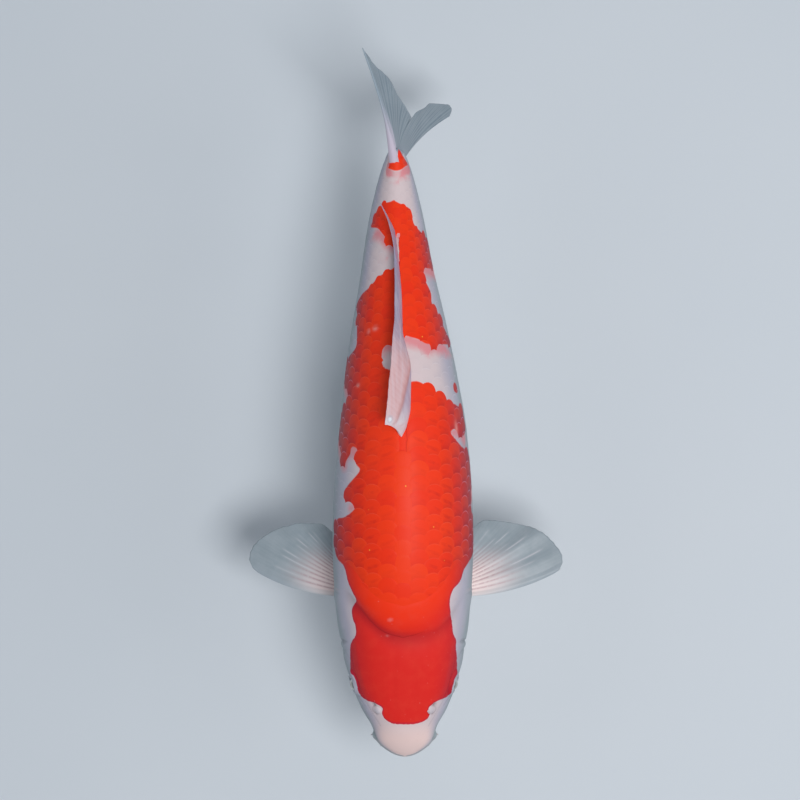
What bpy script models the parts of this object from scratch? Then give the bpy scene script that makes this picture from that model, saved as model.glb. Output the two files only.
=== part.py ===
"""A koi carp (Kohaku), still and life-size, held by a plain stand: an oval base and two rods.

Metres, +Z up. The fish faces -Y and its left side is +X. The origin is the middle of the
base's underside, below the fish's balance point. Inside this file the fish is laid out in
millimetres by "u", the distance behind the snout, and "z", the height over its long axis.
"""

import math

import bmesh
import bpy
from mathutils import Euler, Vector

# ---------------------------------------------------------------- driving sizes (millimetres)
MM = 0.001
AXIS_HEIGHT = 185.0          # the fish's long axis above the floor
GAP = 0.35                   # clearance that touching pieces keep

# The body's own landmarks: distance behind the snout, half width, back line, belly line,
# height of the widest line, and squareness of the section (2 is an ellipse).
BODY = (
    # u      half    back   belly  widest  square
    (0.0,    0.0,   -12.0,  -12.0, -12.0,  2.0),   # snout tip
    (4.0,    13.2,   -2.5,  -20.0, -11.5,  2.0),   # lips
    (16.0,   26.2,    9.5,  -28.0, -11.0,  2.1),   # mouth corner
    (27.0,   29.6,   17.0,  -33.0,  -9.0,  2.2),   # barbel root
    (45.0,   39.4,   26.0,  -40.0,  -6.0,  2.2),   # nostrils
    (68.0,   48.2,   36.0,  -47.5,  -3.0,  2.25),  # eyes
    (95.0,   54.8,   46.5,  -55.5,  -4.0,  2.25),  # cheeks
    (128.0,  60.0,   57.0,  -64.0,  -5.0,  2.2),   # gill covers
    (158.0,  63.2,   65.0,  -70.5,  -4.0,  2.15),  # shoulder
    (200.0,  64.6,   72.5,  -76.5,  -3.0,  2.1),
    (250.0,  62.8,   77.0,  -79.0,  -2.0,  2.1),   # deepest section
    (293.0,  59.0,   76.0,  -77.0,  -1.0,  2.05),  # front of the dorsal fin
    (348.0,  51.7,   71.0,  -69.0,   0.0,  2.0),
    (403.0,  41.7,   61.0,  -55.0,   1.0,  2.0),
    (440.0,  34.2,   53.0,  -45.0,   2.0,  2.0),   # anal fin
    (494.0,  24.7,   41.5,  -33.0,   3.0,  2.0),   # tail stem
    (531.0,  15.6,   36.0,  -30.0,   3.0,  2.1),
    (549.0,   9.2,   36.5,  -31.0,   3.0,  2.2),   # end of the flesh
    (563.0,   2.6,   38.0,  -33.0,   3.0,  2.4),   # wedge that carries the tail fin's rays
)
# The swimming bend: how far the body's middle lies to the left (+X) of a straight line.
SIDE_BEND = ((0, 2.2), (70, 1.2), (150, 0.4), (300, 0.4), (350, -1.4), (420, -3.7), (460, -5.1),
             (505, -5.7), (565, -5.8))
# Where head and trunk meet: girth angle from the back line, distance behind the snout.
HEAD_EDGE = ((0, 112.6), (15, 117.5), (29, 128.5), (47, 149.0), (60, 156.5), (80, 158.5),
             (100, 158.0), (130, 145.0), (155, 118.0), (180, 97.0))
NECK_CENTRE = (130.0, 0.0)   # u and z of the point that the head's rear face runs in to
TRUNK_SPLIT = 300.0
STEM_START = 440.0
STEM_END = BODY[-1][0]

AROUND = 36                  # points around the body
HEAD_RINGS, HEAD_CROWDING = 15, 1.5
FRONT_RINGS = 8

EYE_CENTRE = (41.5, 68.0, 8.0)
EYE_RADIUS = 7.8
COVER_MIDDLE = (135.0, 98.0)     # u and girth angle
COVER_REACH = (36.0, 41.0)       # half its length in u, half its height in degrees
COVER_DEPTH = 6.0
COVER_CORNERS = 28
JAW_HALF_WIDTH, JAW_LENGTH = 24.0, 40.0
MOUTH_Z, MOUTH_SLOPE = -14.5, math.radians(15)
MOUTH_DROP = 60.0                # how far the jaw's cutter runs down, past the chin

# Barbels: root (u, girth angle), length, thickness at the root.
BARBELS = {"front": ((10.0, 104.0), 7.0, 1.8), "rear": ((20.0, 106.0), 20.0, 2.6)}

BASE_HALF_LENGTH, BASE_HALF_WIDTH, BASE_THICKNESS = 165.0, 56.0, 16.0
BASE_EDGE = 3.0                  # rounding of the base's rim
ROD_RADIUS, ROD_SEAT = 4.0, 10.0
ROD_PLACES = {"front": -55.0, "rear": 62.0}   # along Y from the balance point
BELLY_PASS = 40.0                # how far a rod's blank runs into the fish before trimming

# ------------------------------------------------------------------------------ fins (mm)
# Each fin is a fan of rays. Root, tips and bow are places (x, u, z) along the fan, from its
# leading ray at 0 to its last at 1; bow is how far a ray's middle leaves a straight line.
FINS = {
    "dorsal_fin": dict(
        root=((0, (-0.5, 291, 66)), (0.3, (-2.0, 346, 62)), (0.7, (-4.0, 421, 48)),
              (1, (-5.8, 474, 38))),
        tips=((0, (-15.5, 305, 106)), (0.12, (-14, 325, 105)), (0.3, (-10.5, 362, 100)),
              (0.5, (-7.5, 402, 88)), (0.75, (-7.0, 452, 70)), (0.9, (-12.5, 485, 61)),
              (1, (-20.5, 504, 57))),
        bow=((0, (5, -2, 1)), (0.06, (20, -3, 0)), (0.15, (27, -3, 0)), (0.3, (26, -3, 0)),
             (0.4, (18, -3, 0)), (0.5, (9, -3, 0)), (0.65, (8, -3, 0)), (0.8, (5, -3, 1)),
             (1, (4, -4, 4))),
        thickness=(4.0, 1.0), rays=23, steps=6),
    "anal_fin": dict(
        root=((0, (-4.2, 424, -44)), (1, (-5.6, 466, -32))),
        tips=((0, (-7, 463, -108)), (0.35, (-8, 474, -97)), (0.7, (-7, 482, -82)),
              (1, (-6, 490, -66))),
        bow=((0, (0, -3, -2)), (1, (0, 0, 0))),
        thickness=(4.0, 1.0), rays=11, steps=6),
    "caudal_fin_upper": dict(
        root=((0, (-7, 538, 33)), (1, (-6.2, 548, 3.4))),
        tips=((0, (-36, 640, 92)), (0.25, (-28.5, 630, 78)), (0.5, (-13.5, 617, 55)),
              (0.75, (-3, 602, 28)), (1, (8, 586, -4.5))),
        bow=((0, (8, -7, 5)), (0.5, (2, 0, 0)), (1, (-4, 1, 1))),
        thickness=(5.0, 1.0), rays=14, steps=6),
    "caudal_fin_lower": dict(
        root=((0, (-6.2, 548, 2.2)), (1, (-6.2, 538, -27))),
        tips=((0, (8.2, 586.5, -6)), (0.25, (17, 595, -27)), (0.5, (26, 602.5, -48)),
              (0.7, (35, 604.5, -68)), (0.84, (42.5, 605, -82)), (0.93, (46.8, 601.5, -88)),
              (1, (45, 595, -90))),
        bow=((0, (-4, 1, 1)), (0.5, (-6, 0, 2)), (1, (-9.5, 5.5, -6))),
        thickness=(5.0, 1.0), rays=14, steps=6),
}
# Paired fins are given for the left side; the right one has its own reach and sweep.
PECTORAL_ROOT = ((0, (40, 145, -42)), (1, (43, 168, -46)))
PECTORAL_BOW = ((0, (5, -14, 0)), (0.3, (3, -6, 3)), (1, (3, 0, 3)))
PECTORAL_LEFT_TIPS = ((0, (147, 169, -55)), (0.12, (150, 179.5, -56)), (0.3, (142.5, 192.5, -57)),
                      (0.5, (124, 207, -58)), (0.75, (98, 213, -59)), (0.92, (77, 215, -58)),
                      (1, (66, 209, -56)))
PECTORAL_RIGHT_TIPS = ((0, (138, 168, -55)), (0.12, (143.5, 180, -56)),
                       (0.3, (136.5, 193, -57)), (0.5, (116, 206.5, -58)),
                       (0.75, (93, 211, -59)), (0.92, (76, 211.5, -58)), (1, (65, 204, -56)))
PELVIC_ROOT = ((0, (19, 288, -62)), (1, (15, 306, -60)))
PELVIC_TIPS = ((0, (44, 346, -99)), (0.2, (43, 355, -98)), (0.5, (33, 359, -94)),
               (0.8, (20, 352, -89)), (1, (13, 342, -84)))
PELVIC_BOW = ((0, (2, -6, -3)), (1, (0, 0, -2)))

# ------------------------------------------------------------------- colours and finishes
FINISHES = {  # colour, roughness, metallic
    "red": ((0.78, 0.06, 0.03), 0.45, 0.0),
    "white": ((0.78, 0.72, 0.70), 0.45, 0.0),
    "fin": ((0.45, 0.52, 0.58), 0.40, 0.0),
    "eye": ((0.03, 0.03, 0.03), 0.10, 0.0),
    "base": ((0.72, 0.72, 0.70), 0.50, 0.0),
    "rod": ((0.60, 0.60, 0.62), 0.30, 1.0),
}


# ------------------------------------------------------------------------- curves and places
def smooth_curve(knots):
    """Return y(x) through the (x, y) knots: smooth, and nowhere past the knots' own heights."""
    xs, ys = zip(*knots)
    steps = [(y1 - y0) / (x1 - x0) for x0, x1, y0, y1 in zip(xs, xs[1:], ys, ys[1:])]
    inner = [0.0 if a * b <= 0 else 2 * a * b / (a + b) for a, b in zip(steps, steps[1:])]
    slopes = [steps[0], *inner, steps[-1]]

    def value(x):
        x = min(max(x, xs[0]), xs[-1])
        i = max(k for k in range(len(xs) - 1) if x >= xs[k])
        width = xs[i + 1] - xs[i]
        f = (x - xs[i]) / width
        rise = f * f * (3 - 2 * f)
        return (ys[i] * (1 - rise) + ys[i + 1] * rise
                + width * (slopes[i] * f * (1 - f) ** 2 - slopes[i + 1] * f * f * (1 - f)))

    return value


def smooth_path(knots):
    """Return the place at t on a smooth path through the (t, (x, u, z)) knots."""
    curves = [smooth_curve([(t, place[axis]) for t, place in knots]) for axis in range(3)]
    return lambda t: Vector(curve(t) for curve in curves)


def body_curve(column):
    """Return one column of BODY as a curve of u, rounded at the snout like a square root."""
    curve = smooth_curve([(math.sqrt(row[0]), row[column]) for row in BODY])
    return lambda u: curve(math.sqrt(max(u, 0.0)))


half_width, back_line, belly_line, widest_line, squareness = (body_curve(c) for c in range(1, 6))
side_bend = smooth_curve(SIDE_BEND)
head_edge_by_angle = smooth_curve(HEAD_EDGE)


def balance_point():
    """Return the u of the fish's centre of weight, from the area of its sections."""
    places = range(1, int(STEM_END))
    areas = [half_width(u) * (back_line(u) - belly_line(u)) for u in places]
    return sum(u * area for u, area in zip(places, areas)) / sum(areas)


BALANCE_U = balance_point()


def to_world(place):
    """Turn a place (x, u, z) on the fish, in millimetres, into metres in the part's frame."""
    x, u, z = place
    return Vector((x, u - BALANCE_U, z + AXIS_HEIGHT)) * MM


def skin_place(u, angle, proud=0.0):
    """Return the place (x, u, z) on the skin at a girth angle: 0 the back, 180 the belly."""
    side, up = math.sin(math.radians(angle)), math.cos(math.radians(angle))
    line = back_line(u) if up > 0 else belly_line(u)
    width = max(half_width(u), 1e-6)
    height = max(abs(line - widest_line(u)), 1e-6)
    power = 2 / squareness(u)
    place = Vector((side_bend(u) + width * math.copysign(abs(side) ** power, side), u,
                    widest_line(u) + height * math.copysign(abs(up) ** power, up)))
    outward = Vector((math.copysign(abs(side) ** (2 - power), side) / width, 0,
                      math.copysign(abs(up) ** (2 - power), up) / height))
    return place + outward.normalized() * proud


def skin_normal(u, angle):
    """Return the direction that points straight out of the skin."""
    along = skin_place(u + 0.5, angle) - skin_place(u - 0.5, angle)
    around = skin_place(u, angle + 0.5) - skin_place(u, angle - 0.5)
    return around.cross(along).normalized()


def girth_angles():
    """Return the girth angles of the points around the body."""
    return [360 * k / AROUND for k in range(AROUND)]


def head_edge(angle):
    """Return where the head ends at a girth angle, the same on both sides."""
    return head_edge_by_angle(abs((angle + 180) % 360 - 180))


# ------------------------------------------------------------------------- meshes and objects
def new_object(name, mesh, collection, finish=None):
    """Link a mesh as a named object, with a material of its own where a finish is named."""
    piece = bpy.data.objects.new(name, mesh)
    collection.objects.link(piece)
    if finish:
        colour, roughness, metallic = FINISHES[finish]
        material = bpy.data.materials.new(name)
        material.use_nodes = True
        shader = material.node_tree.nodes["Principled BSDF"]
        shader.inputs["Base Color"].default_value = (*colour, 1.0)
        shader.inputs["Roughness"].default_value = roughness
        shader.inputs["Metallic"].default_value = metallic
        mesh.materials.append(material)
    else:
        piece.display_type = "WIRE"
        piece.hide_render = True
    return piece


def finish_mesh(name, bm, smooth=True):
    """Turn a bmesh into a mesh whose faces point out, shaded smooth but for its sharp edges."""
    bmesh.ops.recalc_face_normals(bm, faces=bm.faces)
    mesh = bpy.data.meshes.new(name)
    bm.to_mesh(mesh)
    bm.free()
    if smooth:
        mesh.shade_smooth()
        mesh.set_sharp_from_angle(angle=math.radians(35))
    return mesh


def loft(name, rings, first=None, last=None):
    """Join rings of places into a closed mesh.

    An end runs in to the place given as first or last; where none is given the ring is a
    flat loop, out along one side and home along the other, and is closed across.
    """
    bm = bmesh.new()
    rows = [[bm.verts.new(to_world(place)) for place in ring] for ring in rings]
    count = len(rings[0])
    for row, after in zip(rows, rows[1:]):
        for k in range(count):
            n = (k + 1) % count
            bm.faces.new((row[k], row[n], after[n], after[k]))
    for row, middle in ((rows[0], first), (rows[-1], last)):
        if middle is not None:
            hub = bm.verts.new(to_world(middle))
            for k in range(count):
                bm.faces.new((row[k], row[(k + 1) % count], hub))
        else:
            for k in range(count // 2 - 1):
                bm.faces.new((row[k], row[k + 1], row[count - 2 - k], row[count - 1 - k]))
    return finish_mesh(name, bm)


def boolean(piece, cutter, operation="DIFFERENCE"):
    """Cut one piece by another, or keep what they share."""
    cut = piece.modifiers.new(cutter.name, "BOOLEAN")
    cut.operation = operation
    cut.object = cutter


# --------------------------------------------------------------------------------- the body
def ring_places(start, end):
    """Return the u of the rings between two places: the body's landmarks and halfway points."""
    marks = [row[0] for row in BODY]
    marks += [(a + b) / 2 for a, b in zip(marks, marks[1:])]
    return [start, *sorted(u for u in marks if start + 2 < u < end - 2), end]


def body_ring(edge, proud=0.0):
    """Return a ring of places on the skin; edge gives its u at each girth angle."""
    return [skin_place(edge(a), a, proud) for a in girth_angles()]


def flat_rings(start, end, proud=0.0):
    """Return the body's plain cross rings from one u to another."""
    return [body_ring(lambda a, u=u: u, proud) for u in ring_places(start, end)]


def section_middle(u, z=None):
    """Return the middle of the body's section, or the place there at height z."""
    return Vector((side_bend(u), u, widest_line(u) if z is None else z))


def head_mesh(name):
    """Loft the whole head, its rear face running in to the neck's centre."""
    shares = [(i / HEAD_RINGS) ** HEAD_CROWDING for i in range(1, HEAD_RINGS + 1)]
    rings = [body_ring(lambda a, f=f: head_edge(a) * f) for f in shares]
    return loft(name, rings, section_middle(0), section_middle(*NECK_CENTRE))


def trunk_meshes():
    """Loft the trunk's two lengths and the tail stem, as (name, mesh) pairs."""
    shares = [i / FRONT_RINGS for i in range(FRONT_RINGS + 1)]
    front = [body_ring(lambda a, f=f: (head_edge(a) + GAP) * (1 - f) + TRUNK_SPLIT * f)
             for f in shares]
    neck_u, neck_z = NECK_CENTRE
    yield "trunk_front", loft("trunk_front", front, section_middle(neck_u + GAP, neck_z),
                              section_middle(TRUNK_SPLIT))
    for name, start, end in (("trunk_rear", TRUNK_SPLIT + GAP, STEM_START),
                             ("tail_stem", STEM_START + GAP, STEM_END)):
        yield name, loft(name, flat_rings(start, end), section_middle(start),
                         section_middle(end))


def clearance_body(cutters):
    """Make the whole body a little proud of its skin: what fins and rods are trimmed by."""
    rings = [*flat_rings(1.0, STEM_END, GAP), body_ring(lambda a: STEM_END + GAP, GAP)]
    mesh = loft("body_clearance", rings, section_middle(0), section_middle(STEM_END + GAP))
    return new_object("body_clearance", mesh, cutters)


# --------------------------------------------------------------------------- the head's parts
def cover_region(name, side, grow, cutters):
    """Make the region of one gill cover: a lid's outline, carried through the skin."""
    middle_u, middle_angle = COVER_MIDDLE
    reach_u, reach_angle = COVER_REACH
    grow_angle = math.degrees(grow / half_width(middle_u))
    rings = []
    for proud, share in ((-COVER_DEPTH - grow, 0.95), (0.0, 1.0), (2 * COVER_DEPTH, 1.06)):
        ring = []
        for k in range(COVER_CORNERS):
            turn = math.tau * k / COVER_CORNERS
            u = middle_u + (reach_u * share + grow) * math.cos(turn)
            angle = middle_angle + (reach_angle * share + grow_angle) * math.sin(turn)
            ring.append(skin_place(u, side * angle, proud))
        rings.append(ring)
    mesh = loft(name, rings, skin_place(middle_u, side * middle_angle, -COVER_DEPTH - grow),
                skin_place(middle_u, side * middle_angle, 2 * COVER_DEPTH))
    return new_object(name, mesh, cutters)


def jaw_region(name, grow, cutters):
    """Make the region of the lower jaw: an oval block that hangs from the mouth's slope."""
    bm = bmesh.new()
    bmesh.ops.create_cone(bm, cap_ends=True, segments=32, radius1=1, radius2=1, depth=1)
    bmesh.ops.translate(bm, verts=bm.verts, vec=(0, 0, -0.5))
    size = Vector((JAW_HALF_WIDTH + grow, JAW_LENGTH + grow, MOUTH_DROP))
    bmesh.ops.scale(bm, verts=bm.verts, vec=size)
    bmesh.ops.rotate(bm, verts=bm.verts, matrix=Euler((-MOUTH_SLOPE, 0, 0)).to_matrix())
    for vert in bm.verts:
        vert.co = to_world(vert.co + Vector((side_bend(0), 0, MOUTH_Z + grow)))
    return new_object(name, finish_mesh(name, bm), cutters)


def ball(name, centre, radius):
    """Make a ball about a place on the fish."""
    bm = bmesh.new()
    bmesh.ops.create_uvsphere(bm, u_segments=16, v_segments=9, radius=radius * MM)
    bmesh.ops.translate(bm, verts=bm.verts, vec=to_world(centre))
    return finish_mesh(name, bm)


def barbel(name, side, root, length, thickness, parts):
    """Bend a tapering feeler from the lip: out from the skin, then down."""
    u, angle = root
    outward = skin_normal(u, side * angle)
    start = skin_place(u, side * angle) + outward * GAP
    droop = Vector((0.1 * side, -0.15, -0.95)).normalized()
    curve = bpy.data.curves.new(name, "CURVE")
    curve.dimensions = "3D"
    curve.bevel_depth = thickness / 2 * MM
    curve.bevel_resolution = 2
    curve.use_fill_caps = True
    spline = curve.splines.new("POLY")
    count = 6
    spline.points.add(count - 1)
    for k, point in enumerate(spline.points):
        f = k / (count - 1)
        place = start + outward * length * 0.25 * f * (1 - f / 2) + droop * length * f * f * 0.8
        point.co = (*to_world(place), 1)
        point.radius = 1 - 0.6 * f
    return new_object(name, curve, parts, "white")


def add_head(parts, cutters):
    """Build the head with its jaw, gill covers, eyes and barbels."""
    head = new_object("head", head_mesh("head"), parts, "red")
    jaw = new_object("lower_jaw", head_mesh("lower_jaw"), parts, "white")
    boolean(jaw, jaw_region("jaw_cut", 0.0, cutters), "INTERSECT")
    boolean(head, jaw_region("jaw_room", GAP, cutters))
    for label, side in (("left", 1), ("right", -1)):
        cover = new_object(f"gill_cover_{label}", head_mesh(f"gill_cover_{label}"), parts, "white")
        boolean(cover, cover_region(f"cover_cut_{label}", side, 0.0, cutters), "INTERSECT")
        boolean(head, cover_region(f"cover_room_{label}", side, GAP, cutters))
        x, u, z = EYE_CENTRE
        centre = Vector((side_bend(u) + side * x, u, z))
        new_object(f"eye_{label}", ball(f"eye_{label}", centre, EYE_RADIUS), parts, "eye")
        socket = ball(f"socket_{label}", centre, EYE_RADIUS + GAP)
        boolean(head, new_object(f"socket_{label}", socket, cutters))
        for place, (root, length, thickness) in BARBELS.items():
            barbel(f"barbel_{place}_{label}", side, root, length, thickness, parts)


# --------------------------------------------------------------------------------- the fins
def mirrored(knots):
    """Return the knots of a path on the fish's other side."""
    return tuple((t, (-x, u, z)) for t, (x, u, z) in knots)


def fin_mesh(name, root, tips, bow, thickness, rays, steps):
    """Loft a fin as a fan of bowed rays, thick at the root and thin at the margin."""
    root_at, tip_at, bow_at = smooth_path(root), smooth_path(tips), smooth_path(bow)

    def place(t, s):
        start, end = root_at(t), tip_at(t)
        knee = (start + end) / 2 + bow_at(t)
        return start * (1 - s) ** 2 + knee * 2 * s * (1 - s) + end * s * s

    def half_thickness(t, s):
        step = 0.01
        t0, s0 = min(t, 1 - step), min(s, 1 - step)
        across = place(t0 + step, s0) - place(t0, s0)
        along = place(t0, s0 + step) - place(t0, s0)
        deep, thin = thickness
        return across.cross(along).normalized() * (thin + (deep - thin) * (1 - s) ** 2) / 2

    rings = []
    for i in range(steps + 1):
        s = i / steps
        spread = [k / (rays - 1) for k in range(rays)]
        out = [place(t, s) + half_thickness(t, s) for t in spread]
        home = [place(t, s) - half_thickness(t, s) for t in reversed(spread)]
        rings.append(out + home)
    return loft(name, rings)


def add_fins(parts, clearance):
    """Build every fin and trim its root by the body."""
    fins = dict(FINS)
    for label, tips in (("left", PECTORAL_LEFT_TIPS), ("right", mirrored(PECTORAL_RIGHT_TIPS))):
        flip = tuple if label == "left" else mirrored
        fins[f"pectoral_fin_{label}"] = dict(
            root=flip(PECTORAL_ROOT), tips=tips, bow=flip(PECTORAL_BOW),
            thickness=(5.0, 1.0), rays=16, steps=6)
        fins[f"pelvic_fin_{label}"] = dict(
            root=flip(PELVIC_ROOT), tips=flip(PELVIC_TIPS), bow=flip(PELVIC_BOW),
            thickness=(4.0, 1.0), rays=11, steps=6)
    for name, layout in fins.items():
        boolean(new_object(name, fin_mesh(name, **layout), parts, "fin"), clearance)


# -------------------------------------------------------------------------------- the stand
def cylinder(name, radius, low, high, y, segments=24):
    """Make an upright cylinder between two heights, in millimetres above the floor."""
    bm = bmesh.new()
    bmesh.ops.create_cone(bm, cap_ends=True, segments=segments, radius1=radius * MM,
                          radius2=radius * MM, depth=(high - low) * MM)
    bmesh.ops.translate(bm, verts=bm.verts, vec=(0, y * MM, (high + low) / 2 * MM))
    return finish_mesh(name, bm)


def add_stand(parts, cutters, clearance):
    """Build the oval base, and the two rods that stand in it and end at the belly."""
    mesh = cylinder("stand_base", 1 / MM, 0, BASE_THICKNESS, 0, segments=48)
    base = new_object("stand_base", mesh, parts, "base")
    for vert in mesh.vertices:
        vert.co.x *= BASE_HALF_WIDTH * MM
        vert.co.y *= BASE_HALF_LENGTH * MM
    for label, y in ROD_PLACES.items():
        seat = BASE_THICKNESS - ROD_SEAT
        rod = cylinder(f"stand_rod_{label}", ROD_RADIUS, seat + GAP,
                       AXIS_HEIGHT - BELLY_PASS, y)
        boolean(new_object(f"stand_rod_{label}", rod, parts, "rod"), clearance)
        hole = cylinder(f"seat_{label}", ROD_RADIUS + GAP, seat, BASE_THICKNESS * 2, y)
        boolean(base, new_object(f"seat_{label}", hole, cutters))
    rim = base.modifiers.new("rim", "BEVEL")
    rim.width = BASE_EDGE * MM
    rim.segments = 2
    rim.limit_method = "WEIGHT"
    weights = mesh.attributes.new("bevel_weight_edge", "FLOAT", "EDGE")
    for edge in mesh.edges:
        at_top = all(mesh.vertices[k].co.z > (BASE_THICKNESS - 1) * MM for k in edge.vertices)
        weights.data[edge.index].value = 1.0 if at_top else 0.0
    while base.modifiers[0] != rim:
        base.modifiers.move(len(base.modifiers) - 1, 0)


# ------------------------------------------------------------------------------------- main
def main():
    """Build the whole part from an empty scene."""
    for old in list(bpy.data.objects):
        bpy.data.objects.remove(old)
    parts = bpy.data.collections.new("koi_carp")
    cutters = bpy.data.collections.new("cutters")
    for collection in (parts, cutters):
        bpy.context.scene.collection.children.link(collection)
    clearance = clearance_body(cutters)
    add_head(parts, cutters)
    for name, mesh in trunk_meshes():
        new_object(name, mesh, parts, "white")
    add_fins(parts, clearance)
    add_stand(parts, cutters, clearance)


main()
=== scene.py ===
"""A koi carp (Kohaku) on its display stand: skin, coat of scales, fins, eyes, stand and studio.

The fish faces -Y and its left side is +X. Its shapes are laid out in millimetres by u, the
distance behind the snout, and by girth angle: 0 on the back, 180 on the belly, positive on
the fish's left. They turn into metres in the part's own frame as each mesh is made.
"""

import sys

import logging
import math
from dataclasses import dataclass, field
from enum import Enum

import bpy
import numpy as np
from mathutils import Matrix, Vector


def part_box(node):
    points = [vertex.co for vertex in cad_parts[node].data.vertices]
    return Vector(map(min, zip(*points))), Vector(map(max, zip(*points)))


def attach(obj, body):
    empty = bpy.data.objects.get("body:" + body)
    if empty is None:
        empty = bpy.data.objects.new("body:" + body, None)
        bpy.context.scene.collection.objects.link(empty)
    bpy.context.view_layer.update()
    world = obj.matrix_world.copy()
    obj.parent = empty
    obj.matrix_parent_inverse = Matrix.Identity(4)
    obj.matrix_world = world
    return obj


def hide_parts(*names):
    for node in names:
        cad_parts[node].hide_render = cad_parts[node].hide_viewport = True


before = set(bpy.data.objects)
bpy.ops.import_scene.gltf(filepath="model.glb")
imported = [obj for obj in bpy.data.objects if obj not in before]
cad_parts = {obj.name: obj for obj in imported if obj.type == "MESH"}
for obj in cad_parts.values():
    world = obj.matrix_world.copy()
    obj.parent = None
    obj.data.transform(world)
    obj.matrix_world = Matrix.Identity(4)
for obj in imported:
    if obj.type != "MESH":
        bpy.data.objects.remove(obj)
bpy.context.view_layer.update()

LOG = logging.getLogger("koi")
MM = 0.001
FAR_OFF = 1e9  # farther than anything here, to start a search for the nearest
Array = np.ndarray
Knots = tuple[tuple[float, float], ...]
PathKnots = tuple[tuple[float, tuple[float, float, float]], ...]
Socket = bpy.types.NodeSocket
Colour = tuple[float, float, float]
Place = tuple[float, float, float]
Figures = dict[str, Array]
Material = bpy.types.Material
Piece = bpy.types.Object


# -------- curves and the form
def ramp(x: Array, low: float, high: float) -> Array:
    """Return a smooth rise from 0 at low to 1 at high."""
    f = np.clip((np.asarray(x, float) - low) / (high - low), 0, 1)
    return f * f * (3 - 2 * f)


def hill(x: Array, width: float) -> Array:
    """Return a smooth hill, 1 at 0 and fading over the width given."""
    return np.exp(-((np.asarray(x, float) / width) ** 2))


def signed_power(x: Array, power: Array | float) -> Array:
    """Return x raised to a power, with its sign kept."""
    return np.sign(x) * np.abs(x) ** power


def unit(vectors: Array) -> Array:
    """Return vectors shortened or stretched to a length of 1, along the last axis."""
    return vectors / np.maximum(np.linalg.norm(vectors, axis=-1, keepdims=True), 1e-12)


def lengths_along(places: Array) -> Array:
    """Return the length run by each row of places up to each of them."""
    steps = np.linalg.norm(np.diff(places, axis=1), axis=-1)
    return np.concatenate([np.zeros((len(places), 1)), np.cumsum(steps, axis=1)], axis=1)


class SmoothCurve:
    """A smooth y(x) through knots, nowhere past the knots' own heights."""

    def __init__(self, knots: Knots) -> None:
        """Work out the slope at each knot."""
        self.xs, self.ys = np.array(knots, float).T
        steps = np.diff(self.ys) / np.diff(self.xs)
        before, after = steps[:-1], steps[1:]
        total = np.where(before + after == 0, 1, before + after)
        inner = np.where(before * after > 0, 2 * before * after / total, 0)
        self.slopes = np.concatenate([steps[:1], inner, steps[-1:]])

    def __call__(self, x: Array) -> Array:
        """Return the curve's height at x, held at its ends."""
        x = np.clip(np.asarray(x, float), self.xs[0], self.xs[-1])
        i = np.clip(np.searchsorted(self.xs, x, side="right") - 1, 0, len(self.xs) - 2)
        width = self.xs[i + 1] - self.xs[i]
        f = (x - self.xs[i]) / width
        rise = f * f * (3 - 2 * f)
        lean = self.slopes[i] * f * (1 - f) ** 2 - self.slopes[i + 1] * f * f * (1 - f)
        return self.ys[i] * (1 - rise) + self.ys[i + 1] * rise + width * lean


class SmoothPath:
    """A smooth path of places (x, u, z) along a fan, from 0 to 1."""

    def __init__(self, knots: PathKnots) -> None:
        """Make one curve for each axis."""
        self.curves = [SmoothCurve(tuple((t, p[axis]) for t, p in knots)) for axis in range(3)]

    def __call__(self, t: Array) -> Array:
        """Return the places at t, with a last axis of three."""
        return np.stack([curve(t) for curve in self.curves], axis=-1)


def rounded_path(points: Knots, closed: bool, steps: int = 6) -> Array:
    """Round a path of (u, angle) points off into a smooth line.

    Args:
        points: the corners, in order.
        closed: whether the last point runs on to the first.
        steps: how many points each side is divided into.

    Returns:
        The smooth line's points, one to a row.
    """
    knots = np.array(points, float)
    if closed:
        padded = np.concatenate([knots[-1:], knots, knots[:2]])
    else:
        padded = np.concatenate([2 * knots[:1] - knots[1:2], knots, 2 * knots[-1:] - knots[-2:-1]])
    lines = []
    for a, b, c, d in zip(padded, padded[1:], padded[2:], padded[3:]):
        f = np.linspace(0, 1, steps, endpoint=False)[:, None]
        lines.append(0.5 * (2 * b + (c - a) * f + (2 * a - 5 * b + 4 * c - d) * f ** 2
                            + (3 * b - a - 3 * c + d) * f ** 3))
    if not closed:
        lines.append(knots[-1:])
    return np.concatenate(lines)


def nearest_on(line: Array, places: Array) -> tuple[Array, Array, Array]:
    """Find the point of a broken line that lies nearest to each place.

    Args:
        line: the line's corners, one to a row.
        places: the places, one to a row.

    Returns:
        The distance, the share of the line passed by there, and the step out to the place.
    """
    best = np.full(len(places), FAR_OFF)
    share, out = np.zeros(len(places)), np.zeros(places.shape)
    for i, (a, b) in enumerate(zip(line, line[1:])):
        run = b - a
        f = np.clip(((places - a) @ run) / max(run @ run, 1e-9), 0, 1)
        step = places - a - f[:, None] * run
        gap = np.sum(step ** 2, axis=1)
        share = np.where(gap < best, (i + f) / (len(line) - 1), share)
        out = np.where((gap < best)[:, None], step, out)
        best = np.minimum(best, gap)
    return np.sqrt(best), share, out


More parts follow.
